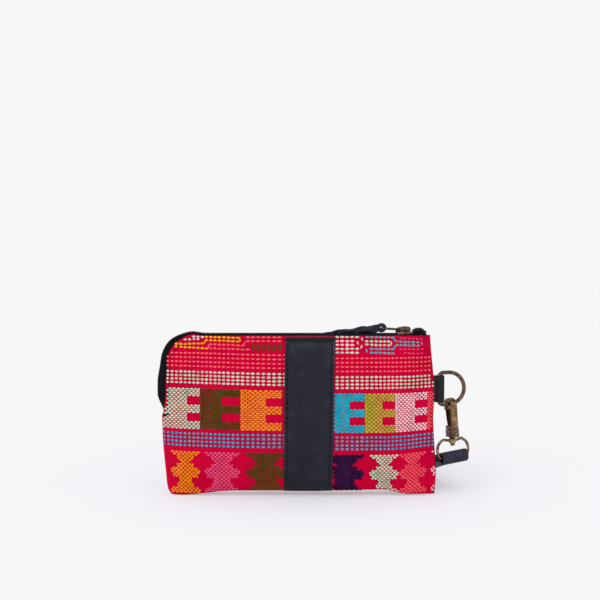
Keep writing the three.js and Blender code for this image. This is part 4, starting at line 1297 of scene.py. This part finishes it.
def zip_end(side, label):
    """The tape's end, folded over into a lump with the last teeth standing out of it."""
    middle_x = ZIP_RIGHT_END + CLEARANCE + ZIP_LUMP_HALF_LENGTH
    middle_y = side * (CLEARANCE + ZIP_LUMP_WIDTH / 2)
    base_z = POUCH_HEIGHT + CLEARANCE
    turn = np.linspace(0, math.pi, 40)
    reach = ZIP_LUMP_HALF_LENGTH - 0.35
    high = ZIP_LUMP_HEIGHT - 0.9
    swell = 1 + 0.05 * np.sin(turn * 7 + side) + 0.04 * np.sin(turn * 12)
    outline = np.stack([middle_x + reach * np.cos(turn), base_z + high * np.sin(turn) * swell], axis=-1)
    half = ZIP_LUMP_WIDTH / 2
    fold = extruded(f"end_fold_{label}", outline, middle_y - half, middle_y + half, UPRIGHT, TAPE_CLOTH, 0.6)
    spots, rises = [], []
    for row, y in enumerate((-0.95, 0.0, 0.95)):
        for k in range(9):
            angle = math.pi * (k + 0.7 + 0.4 * (row % 2)) / 10
            rises.append((math.cos(angle), 0, math.sin(angle)))
            spots.append((middle_x + reach * math.cos(angle), middle_y + y, base_z + high * math.sin(angle)))
    rises = unit(np.array(rises))
    knobs = lay_grains(f"end_teeth_{label}", spots, np.tile((0.0, 1.0, 0.0), (len(spots), 1)), rises,
                       (1.5, 1.1, 1.9), END_THREAD, sides=8, rows=5, wobble=0.45, seed=5)
    tell(joined(f"zip_fold_{label}", [fold, knobs]), "pouch", "tape", f"zip_end_{label}")


for side, label in SIDES:
    zip_end(side, label)


def cloth_line(side, spots):
    """Points on the cloth nearest to a drawn line of (x, z) spots, with their outward directions."""
    spots = np.asarray(spots, float)
    v = row_at(spots[:, 0], spots[:, 1], side)
    return cloth_at(side, spots[:, 0], v), cloth_normal(side, spots[:, 0], v)


def topstitch(side, label):
    """Dark stitches a little inside the cloth's zipped edge, with a bar tack at their low end."""
    inset = STITCH_INSET
    samples = 900
    right = [(x, CLOTH_TOP - 2.4) for x in np.linspace(91, CORNER_X + 4, 60)]
    turn = np.linspace(0.2, math.pi / 2, 24)
    reach = CORNER_RADIUS - inset
    corner = [(CORNER_X - reach * math.sin(a), CORNER_Z + reach * math.cos(a)) for a in turn]
    down = [(left_edge(z) + inset, z) for z in np.linspace(CORNER_Z - 1, ZIP_LOW_END - 4, 20)]
    line = even(np.array(right + corner + down), samples)
    points, normals = cloth_line(side, line)
    run = run_along(points)
    wanted = np.arange(1.4, run[-1], 2.9)
    picks = np.clip(np.searchsorted(run, wanted), 1, samples - 2)
    if side < 0:
        picks = picks[np.abs(points[picks, 0] - BAND_CENTRE_X) > BAND_WIDTH / 2]
    along = points[picks + 1] - points[picks - 1]
    row = lay_grains(f"topstitch_{label}", points[picks] + normals[picks] * 0.2, along, normals[picks],
                     (2.7, 0.62, 0.5), BLACK_THREAD, wobble=0.06)
    tack = [(x, ZIP_LOW_END - 3.4 + 0.1 * k) for k, x in enumerate(np.linspace(-95.0, -90.8, 9))]
    tack_points, tack_normals = cloth_line(side, tack)
    upright = np.tile((0.25, 0, 1.0), (len(tack), 1))
    bars = lay_grains(f"bar_tack_{label}", tack_points + tack_normals * 0.15, upright, tack_normals,
                      (1.9, 0.8, 1.0), BLACK_THREAD)
    tell(joined(f"topstitch_{label}", [row, bars]), "pouch", "cloth")


for side, label in SIDES:
    topstitch(side, label)


# Slider and pull

PLATE_LOW = POUCH_HEIGHT + CHAIN_TOP + CLEARANCE
PLATE_HIGH = PLATE_LOW + SLIDER_PLATE


def slider_block(name, x, y, low, high, edge):
    """A plain block of the slider between two x, measured from its middle, and two y."""
    outline = [(SLIDER_X + x[i], y[j]) for i, j in ((0, 0), (1, 0), (1, 1), (0, 1))]
    return extruded(name, outline, low, high, LYING, PULL_BRONZE, edge)


def slider():
    half, wide = SLIDER_LENGTH / 2, SLIDER_HALF_WIDTH
    near = [(-half, wide * 0.8), (-half * 0.2, wide * 0.84), (half * 0.55, wide), (half * 0.95, wide * 0.6)]
    rim = [(x, -y) for x, y in near] + [(half, 0)] + near[::-1] + [(-half * 1.02, 0)]
    rim = spline(rim, closed=True, fine=5) + np.array([SLIDER_X, 0])
    parts = [extruded("slider_plate", rim, PLATE_LOW, PLATE_HIGH, LYING, PULL_BRONZE, 0.3)]
    for side in (-1, 1):
        wall = side * (COIL_HALF_WIDTH + CLEARANCE + SLIDER_FLANGE)
        faces = (wall - SLIDER_FLANGE, wall + SLIDER_FLANGE)
        parts.append(slider_block("flange", (-4.3, 4.3), faces, PLATE_LOW - 1.1, PLATE_LOW + 0.2, 0.18))
    parts.append(slider_block("post", (-0.3, 2.7), (-0.35, 0.35), PLATE_LOW - 3.6, PLATE_LOW + 0.2, 0.1))
    low = POUCH_HEIGHT + CHAIN_TOP - 1.9 - CLEARANCE
    parts.append(slider_block("under_plate", (-4.5, 4.5), (-2.4, 2.4), low - 1.0, low, 0.3))
    tell(joined("slider", parts), "slider", "antique_brass", "slider_body")


def slider_bridge():
    """The arch that holds the pull, with the cap that fills it."""
    reach = SLIDER_LENGTH / 2 - 0.6
    top = BRIDGE_HEIGHT - 0.8
    arch = spline([
        (-reach + 0.35, 0), (-reach + 0.4, top * 0.45), (-reach * 0.6, top * 0.78),
        (-reach * 0.1, top * 0.96), (reach * 0.5, top), (reach - 0.6, top * 0.85),
        (reach - 0.4, top * 0.4), (reach - 0.4, 0),
    ])
    arch = even(arch, 36)
    path = np.stack([arch[:, 0] + SLIDER_X, 0 * arch[:, 0], arch[:, 1] + PLATE_HIGH + 0.05], axis=-1)
    section = strip_section(BRIDGE_WIDTH, BRIDGE_THICKNESS, 0.25)
    bridge = sweep("bridge", path, section, (0, 1, 0), PULL_BRONZE)
    cap = [
        (-reach + 0.7, 0), (-reach + 0.7, top * 0.4), (-reach * 0.6, top * 0.74), (-reach * 0.1, top * 0.9),
        (reach * 0.5, top * 0.98), (reach - 0.8, top * 0.8), (reach - 0.5, 0),
    ]
    cap = [(x + SLIDER_X, z + PLATE_HIGH) for x, z in cap]
    filled = extruded("cap", cap, -0.9, 0.9, UPRIGHT, PULL_BRONZE, 0.25)
    tell(joined("bridge", [bridge, filled]), "slider", "antique_brass", "slider_bridge")


def squared(value):
    """A cosine or sine pushed outwards, so that the loop it draws is nearly a rectangle."""
    return np.sign(value) * np.abs(value) ** 0.55


def pull_link():
    turn = np.linspace(0, 2 * math.pi, 72, endpoint=False)
    x = LINK_HALF_LENGTH * squared(np.cos(turn)) - LINK_HALF_LENGTH
    y = LINK_HALF_WIDTH * squared(np.sin(turn))
    loop = even(np.stack([x, y, 0 * x], axis=-1), 72, closed=True)
    matrix = Matrix.Translation(Vector(place_of("link_flip"))) @ Matrix.Rotation(LINK_LIFT, 4, "Y")
    link = sweep("wire_link", moved(loop, matrix), round_section(LINK_WIRE, 12), (0, 0.05, 1), PULL_BRONZE,
                 closed=True)
    tell(link, "link", "antique_brass", "pull_link")


# The thong's outline: how far from the link, and its top and foot there
THONG_REACHES = (1.0, 4.0, 7.3, 10.7, 15.2, 19.8, 24.3, 31.6, 36.3, 40.6)
THONG_TOPS = (2.8, 2.7, 1.85, 2.0, 1.3, -0.15, -0.4, -1.0, -2.4, -3.0)
THONG_FEET = (-2.1, -3.3, -3.7, -3.7, -3.7, -3.7, -3.7, -3.7, -3.7, -3.7)


def pull_thong():
    """Two strips of leather looped through the link and twisted together to a tail that lies on the zip."""
    pivot = place_of("thong_flip")
    reach = np.linspace(2.6, THONG_REACHES[-1], 150)
    top = np.interp(reach, THONG_REACHES, THONG_TOPS)
    foot = np.interp(reach, THONG_REACHES, THONG_FEET)
    middle, half = (top + foot) / 2, (top - foot) / 2
    around = np.linspace(0, 2 * math.pi, 18, endpoint=False)
    x = np.repeat(-reach[:, None], len(around), axis=1)
    core_y = 0.5 * half[:, None] * np.cos(around)
    core_z = (middle - 0.14 * half)[:, None] + 0.82 * half[:, None] * np.sin(around)
    strands = [skin("strand_core", np.stack([x, core_y, core_z], axis=-1) + pivot, THONG_HIDE)]
    for strand in (0, 1):
        turn = math.pi * (strand + reach / 12.5 + 0.15)
        out = 0.5 * half
        radial = 0.5 * half[:, None] * np.cos(around)
        tangent = 0.76 * half[:, None] * np.sin(around)
        y = (out[:, None] + radial) * np.cos(turn)[:, None] - tangent * np.sin(turn)[:, None]
        z = (out[:, None] + radial) * np.sin(turn)[:, None] + tangent * np.cos(turn)[:, None]
        rings = np.stack([x, y, z + middle[:, None]], axis=-1) + pivot
        strands.append(skin(f"strand_{strand}", rings, THONG_HIDE))
    angle = np.linspace(0, 2 * math.pi, 48, endpoint=False)
    eye = np.stack([2.2 * np.cos(angle), 0 * angle, 1.95 * np.sin(angle) + 0.35], axis=-1) + pivot
    loop = sweep("eye", eye, strip_section(2.8, 1.3, 0.5), (0, 1, 0), THONG_HIDE, closed=True)
    tell(joined("twisted_thong", [loop] + strands), "thong", "leather", "pull_thong")


slider()
slider_bridge()
pull_link()
pull_thong()


# Tab, D-ring, snap hook and swivel

def side_tab():
    middle = D_WIRE + CLEARANCE + TAB_LEATHER / 2
    half_gap = TAB_LEATHER / 2 + 0.02
    turn = np.linspace(-math.radians(124), math.radians(124), 40)
    loop = np.stack([BAR_X + TAB_SLACK + middle * np.cos(turn), middle * np.sin(turn)], axis=-1)
    front_run = [(89.5, -half_gap), (93, -half_gap), (96.4, -half_gap), (98.0, -half_gap - 0.25)]
    back_run = [(x, -y) for x, y in reversed(front_run)]
    spots = front_run + [tuple(spot) for spot in loop[::6]] + [tuple(loop[-1])] + back_run
    line = even(spline(spots, fine=10), 110)
    path = np.stack([line[:, 0], line[:, 1], np.full(len(line), RING_HEIGHT_Z)], axis=-1)
    tab = sweep("tab", path, strip_section(TAB_LEATHER, TAB_WIDTH, 0.4), (0, 0, 1), TAB_HIDE)
    tell(tab, "pouch", "leather", "side_tab")


def d_ring():
    half, corner = D_HALF_HEIGHT, D_CORNER
    spots = [(0, z) for z in np.linspace(half - corner, corner - half, 30)]
    quarter = np.linspace(0, math.pi / 2, 14)[1:]
    spots += [(corner - corner * math.cos(a), corner - half - corner * math.sin(a)) for a in quarter]
    spots += [(x, -half) for x in np.linspace(corner, D_STRAIGHT, 6)[1:]]
    bow = np.linspace(0, math.pi, 60)[1:]
    spots += [(D_STRAIGHT + half * math.sin(a), -half * math.cos(a)) for a in bow]
    spots += [(x, half) for x in np.linspace(D_STRAIGHT, corner, 6)[1:]]
    spots += [(corner - corner * math.sin(a), half - corner + corner * math.cos(a)) for a in quarter[:-1]]
    line = even(np.array(spots), 180, closed=True)
    path = np.stack([line[:, 0], 0 * line[:, 0], line[:, 1]], axis=-1)
    matrix = Matrix.Translation(Vector((BAR_X, 0, RING_HEIGHT_Z))) @ Matrix.Rotation(D_TURN, 4, "Z")
    ring = sweep("d_ring_wire", moved(path, matrix), round_section(D_WIRE, 20),
                 np.array(matrix.to_3x3()) @ np.array((0, 1.0, 0)), BRONZE, closed=True)
    tell(ring, "d_ring", "antique_brass", "d_ring")


def hook_frame(turn):
    """The frame at the hook's joint, tilted as the hook hangs and turned about its length."""
    place = Matrix.Translation(Vector(place_of("hook_swing")))
    return place @ Matrix.Rotation(-HOOK_TILT, 4, "Y") @ Matrix.Rotation(turn, 4, "Z")


HOOK_FRAME = hook_frame(HOOK_TURN)
RING_FRAME = hook_frame(SWIVEL_TURN)
EYE_CENTRE_Z = EYE_TOP - EYE_RADIUS
CURL_RADIUS = EYE_RADIUS + SPINE_THICKNESS


def turned(vector, matrix):
    return np.array(matrix.to_3x3()) @ np.array(vector, float)


def hook_ribbon(name, line, section, shares, widths, finish):
    """A strip of metal bent along a line in the hook's middle plane, with its width eased along it."""
    path = moved(np.stack([0 * line[:, 0], line[:, 0], line[:, 1]], axis=-1), HOOK_FRAME)
    across = turned((1, 0, 0), HOOK_FRAME)
    off = np.cross(path_axes(path, across)[0], across)
    wide = np.interp(np.linspace(0, 1, len(line)), shares, widths)
    rings = (path[:, None, :] + across * (section[None, :, :1] * wide[:, None, None])
             + off[:, None, :] * section[None, :, 1:])
    return skin(name, rings, finish)


def collar_ring(low, high, grow, dips):
    """One of the collar's two rings. dips say whether its foot and its top are notched in the middle."""
    half, back, front_face = COLLAR_WIDTH / 2, -CURL_RADIUS - 0.3, EYE_RADIUS + 1.4
    cut = 1.1
    block = [
        (-half + cut, back), (0, back), (half - cut, back), (half, back + cut), (half, front_face - cut),
        (half - cut, front_face), (0, front_face), (-half + cut, front_face), (-half, front_face - cut),
        (-half, back + cut),
    ]
    across, deep, up = (turned(axis, HOOK_FRAME) for axis in LYING)
    ring = np.array([(x * grow, (y - 0.2) * grow) for x, y in block])
    flat = ring[:, :1] * across + ring[:, 1:] * deep + np.array(HOOK_FRAME.translation)
    notch = (1.3 * np.abs(ring[:, :1]) / half - 0.7) * up
    points = np.concatenate([flat + up * low + notch * dips[0], flat + up * high + notch * dips[1]])
    piece = new_piece("collar", points, prism_faces(len(flat)), BRONZE)
    face_outwards(piece)
    return rounded(piece, 0.4, 3, 20)


def snap_hook():
    """Spine plate, curl and nose in one strip, and the collar that the gate and swivel sit in."""
    mid = EYE_RADIUS + SPINE_THICKNESS / 2
    spots = [(-mid - 0.1, z) for z in np.linspace(COLLAR_TOP - 1.5, EYE_CENTRE_Z - 0.6, 16)]
    spots += [(-mid * math.cos(a), EYE_CENTRE_Z + mid * math.sin(a)) for a in np.linspace(0, math.pi, 36)]
    spots += [(mid - 0.06 * k, EYE_CENTRE_Z - (EYE_CENTRE_Z - NOSE_END) * k / 6) for k in range(1, 7)]
    section = strip_section(SPINE_WIDTH, SPINE_THICKNESS, 0.45, 5)
    strip = hook_ribbon("hook_strip", even(np.array(spots), 96), section,
                        (0, 0.3, 0.5, 0.8, 1.0), (1.0, 0.97, 0.94, 1.0, 1.0), BRASS)
    groove = COLLAR_BOTTOM + 5.2
    lower = collar_ring(COLLAR_BOTTOM, groove, 1.0, (0, 1))
    upper = collar_ring(groove + 0.35, COLLAR_TOP, 0.95, (1, 0))
    tell(joined("snap_hook", [strip, lower, upper]), "hook", "antique_brass", "hook_body")


def hook_gate():
    """The sprung tongue that shuts the hook."""
    outer = EYE_RADIUS - CLEARANCE
    spots = [(outer - 0.1, -4.0), (outer - 0.3, -8), (outer - 0.6, -12), (outer - 1.0, -15.5)]
    line = even(spline(spots + [(PIVOT_Y, PIVOT_Z - 0.2)]), 40)
    # The gate's brass is painted darker than the hook's: painted shade for its recessed place.
    tongue = hook_ribbon("gate_tongue", line, strip_section(GATE_WIDTH, 1.2, 0.35),
                         (0, 0.1, 0.6, 1.0), (1.3, 1.36, 1.2, 0.85), SHADED_BRASS)
    tell(tongue, "gate", "antique_brass", "hook_gate")


def lathed(name, profile, sides, matrix, closed=False):
    """A round brass form at the swivel: pairs of a radius and a height, turned about the frame's z."""
    turn = np.linspace(0, 2 * math.pi, sides, endpoint=False)
    rings = [[(r * math.cos(a), r * math.sin(a), z + SWIVEL_Z) for a in turn] for r, z in profile]
    rings = [moved(ring, matrix) for ring in rings]
    return skin(name, rings, BRASS, closed)


def swivel_post():
    """The headed pin that the swivel ring turns on."""
    profile = [
        (0.02, -3.8), (1.45, -3.8), (1.8, -3.5), (1.8, -3.3), (1.5, -2.9), (1.1, -2.7), (1.1, 2.3),
        (1.1, 4.7), (1.65, 4.9), (1.65, 5.4), (0.02, 5.5),
    ]
    post = lathed("swivel_post", profile, 24, HOOK_FRAME)
    tell(rounded(post, 0.12, 2, 30), "hook", "antique_brass", "swivel_pin")


def swivel_ring():
    wide, low = SWIVEL_HALF_WIDTH, -SWIVEL_DROP
    right = [
        (SWIVEL_BAR_HALF, low), (wide - 0.9, low + 1.7), (wide, low + 5.6), (wide - 1.2, low + 9.9),
        (wide - 4.6, low + 12.8), (4.2, 0.3),
    ]
    spots = [(0, low)] + right + [(0, 0)] + [(-x, z) for x, z in reversed(right)]
    line = even(spline(spots, closed=True), 150, closed=True)
    on_bar = (np.abs(line[:, 0]) < SWIVEL_BAR_HALF - 1) & (line[:, 1] < low / 2)
    line[on_bar, 1] = low
    path = moved(np.stack([line[:, 0], 0 * line[:, 0], line[:, 1] + SWIVEL_Z], axis=-1), RING_FRAME)
    up = turned((0, 1, 0), RING_FRAME)
    loop = sweep("loop", path, round_section(SWIVEL_WIRE, 16), up, BRASS, closed=True)
    profile = [
        (1.45, -2.25), (1.9, -2.2), (2.45, -1.3), (2.65, -0.3), (2.55, 0.7), (2.05, 1.7), (1.5, 2.1),
        (1.45, 1.9), (1.45, -2.0),
    ]
    ball = lathed("ball", profile, 28, RING_FRAME, closed=True)
    tell(joined("swivel_loop", [loop, ball]), "swivel", "antique_brass", "swivel_ring")


side_tab()
d_ring()
snap_hook()
hook_gate()
swivel_post()
swivel_ring()
for node, finish in (
    ("gate_pin", STEEL),
    ("gate_spring", STEEL),
    ("zip_bottom_stop", BRASS),
    ("front_lining", LINING_CLOTH),
    ("back_lining", LINING_CLOTH),
):
    frame["nodes"][node].data.materials.clear()
    frame["nodes"][node].data.materials.append(finish)


# Wrist strap

STRAP_FRAME = (Matrix.Translation(Vector(place_of("strap_hinge"))) @ Matrix.Rotation(STRAP_TURN, 4, "Z")
               @ Matrix.Rotation(-STRAP_TILT, 4, "Y"))


def strap_spots(floor):
    """The strap's line in its own frame: back from the ring, and up. It starts at the stitched end."""
    far, r, layer = STRAP_LOOP, FOLD_RADIUS, STRAP_LEATHER + CLEARANCE
    end = [(27, -6.6), (17, -3.0), (9.5, -1.2)]
    fold = [
        (5.6, -2.1), (2.8, -r * 0.93), (-0.6, -r), (-r * 0.86, -r * 0.5), (-r * 0.96, r * 0.3),
        (-r * 0.35, r * 0.94), (2.2, r * 0.86), (5.4, 1.9),
    ]
    over_end = [(x, z + layer) for x, z in reversed(end)]
    out = [
        (far * 0.33, -9.4), (far * 0.53, -1.4), (far * 0.74, 4.2), (far * 0.9, 1.0),
        (far * 0.99, floor * 0.45), (far * 0.965, floor * 0.86),
    ]
    home = [
        (far * 0.87, floor), (far * 0.7, floor), (far * 0.56, floor), (far * 0.46, floor + 1.2),
        (far * 0.33, -16.2), (far * 0.27, -13.4), (far * 0.185, -6.8 - layer * 1.05), (17, -3.0 - layer),
        (10.5, -1.7 - layer),
    ]
    return end + fold + over_end + out + home


def strap_point(along, height, across):
    """A point of the strap in its own frame, with the first part's tilt fading out along it."""
    tilt = STRAP_TILT * smooth(along, 5, STRAP_TILT_RUN)
    across = across + STRAP_SHIFT
    x = across * np.cos(tilt) + height * np.sin(tilt)
    z = height * np.cos(tilt) - across * np.sin(tilt)
    return np.stack([x, along + 0 * x, z], axis=-1)


def wrist_strap():
    floor = STRAP_LEATHER / 2 - place_of("strap_hinge")[2]
    samples = 420
    line = even(spline(strap_spots(floor)), samples)
    line[:, 1] = np.maximum(line[:, 1], floor)
    slope = unit(np.gradient(line, axis=0))
    off = np.stack([-slope[:, 1], slope[:, 0]], axis=-1)
    section = strip_section(STRAP_WIDTH, STRAP_LEATHER, 0.45, 4)
    along = line[:, None, 0] + off[:, None, 0] * section[None, :, 1]
    height = line[:, None, 1] + off[:, None, 1] * section[None, :, 1]
    across = np.broadcast_to(section[None, :, 0], along.shape)
    strap = skin("leather_loop", moved(strap_point(along, height, across), STRAP_FRAME), STRAP_HIDE)
    tell(strap, "strap", "leather", "wrist_strap")
    run = run_along(line)
    spots, ways, rises = [], [], []
    for face in (-1, 1):
        for side in (-1, 1):
            for distance in np.arange(4, run[-1] - 3, 3.1):
                k = int(np.clip(np.searchsorted(run, distance), 1, samples - 2))
                near_fold = line[k, 0] < 46 and (face < 0) == (k > samples / 2)
                if line[k, 1] < floor + 0.2 and face > 0 or near_fold:
                    continue
                seat = line[k] + off[k] * face * (STRAP_LEATHER / 2 - 0.03)
                spots.append(strap_point(seat[0], seat[1], side * (STRAP_WIDTH / 2 - 2.0)))
                ahead = line[k + 1] - line[k - 1]
                ways.append((0, ahead[0], ahead[1]))
                rises.append((0, off[k, 0] * face, off[k, 1] * face))
    turn = np.array(STRAP_FRAME.to_3x3())
    stitches = lay_grains("strap_stitches", moved(spots, STRAP_FRAME), np.array(ways) @ turn.T,
                          np.array(rises) @ turn.T, (2.3, 0.6, 0.5), BLACK_THREAD, wobble=0.05)
    tell(stitches, "strap", "leather")


wrist_strap()


# Floor, light and camera

def floor_finish():
    """Pale floor that holds the shadow and goes over into the white background further off. Its glow is
    painted light that also lightens the shadow near the pouch, and its blue tint paints a lavender colour
    into that shadow.
    """
    finish = Finish("pale_floor", **{"Specular IOR Level": 0.0, "Roughness": 0.9})
    place = finish.put("ShaderNodeTexCoord").outputs["Object"]
    far = finish.put("ShaderNodeVectorMath", {0: place}, operation="LENGTH")
    # Share of painted glow: about a third near the pouch, which lightens its shadow, rising to full white
    # further off.
    share = finish.grey_ramp(far.outputs["Value"], (0.05, 0.32), (0.13, 0.5), (0.2, 0.82), (0.3, 1.0))
    grain = finish.noise(finish.coordinates((9, 9, 9)), 1.0, 2.0)
    # Painted shadow colour: the floor is tinted blue so that the shadow on it comes out lavender.
    base = finish.ramp(grain, [(0.3, (0.905, 0.895, 0.985, 1)), (0.7, (0.92, 0.91, 1.0, 1))])
    finish.feed(finish.shader, "Base Color", base)
    glow = finish.put("ShaderNodeEmission", {"Color": BACKDROP_WHITE, "Strength": 1.0})
    path = finish.put("ShaderNodeLightPath")
    bounced = finish.sum("MAXIMUM", path.outputs["Is Glossy Ray"], path.outputs["Is Transmission Ray"])
    seen = finish.sum("MAXIMUM", path.outputs["Is Camera Ray"], bounced)
    whiter = finish.sum("MULTIPLY", share, seen)
    both = finish.put("ShaderNodeMixShader", {0: whiter, 1: finish.shader, 2: glow})
    finish.tree.links.new(both.outputs[0], finish.out.inputs["Surface"])
    return finish.material


def stage():
    size = 8.0
    mesh = bpy.data.meshes.new("floor")
    corners = [(-size, -size, 0), (size, -size, 0), (size, size, 0), (-size, size, 0)]
    mesh.from_pydata(corners, [], [(0, 1, 2, 3)])
    mesh.materials.append(floor_finish())
    floor = placed("floor", mesh)


def light(name, place, aim, size, power, tint=(1, 1, 1)):
    data = bpy.data.lights.new(name, "AREA")
    data.shape = "RECTANGLE"
    data.size, data.size_y = size
    data.energy = power
    data.color = tint
    lamp = placed(name, data)
    lamp.location = place
    way = Vector(aim) - Vector(place)
    lamp.rotation_euler = way.to_track_quat("-Z", "Y").to_euler()


def studio():
    light("key", (-1.1, -1.7, 1.5), (0, -0.06, 0.05), (1.3, 1.1), 12.0, (1.0, 0.985, 0.955))
    light("side", (1.9, -0.7, 1.2), (0, -0.06, 0.05), (0.9, 0.9), 2.5)
    world = bpy.data.worlds.new("studio")
    bpy.context.scene.world = world
    world.use_nodes = True
    tree = world.node_tree
    tree.nodes.clear()
    soft = put_node(tree, "ShaderNodeBackground", {"Color": (0.95, 0.95, 1.0, 1), "Strength": 0.9})
    white = put_node(tree, "ShaderNodeBackground", {"Color": BACKDROP_WHITE})
    path = put_node(tree, "ShaderNodeLightPath").outputs
    seen = put_node(tree, "ShaderNodeMath", {0: path["Is Camera Ray"], 1: path["Is Transmission Ray"]},
                    operation="MAXIMUM")
    both = put_node(tree, "ShaderNodeMixShader", {0: seen, 1: soft, 2: white})
    put_node(tree, "ShaderNodeOutputWorld", {0: both})


def camera():
    data = bpy.data.cameras.new("camera")
    data.lens = 100
    data.sensor_width = 36
    eye = placed("camera", data)
    way = Vector((0, -math.cos(CAMERA_LIFT), math.sin(CAMERA_LIFT)))
    eye.location = Vector(to_part(CAMERA_TARGET)) + way * CAMERA_DISTANCE
    eye.rotation_euler = (-way).to_track_quat("-Z", "Y").to_euler()
    bpy.context.scene.camera = eye


stage()
studio()
camera()
bpy.context.scene.view_settings.view_transform = "Standard"
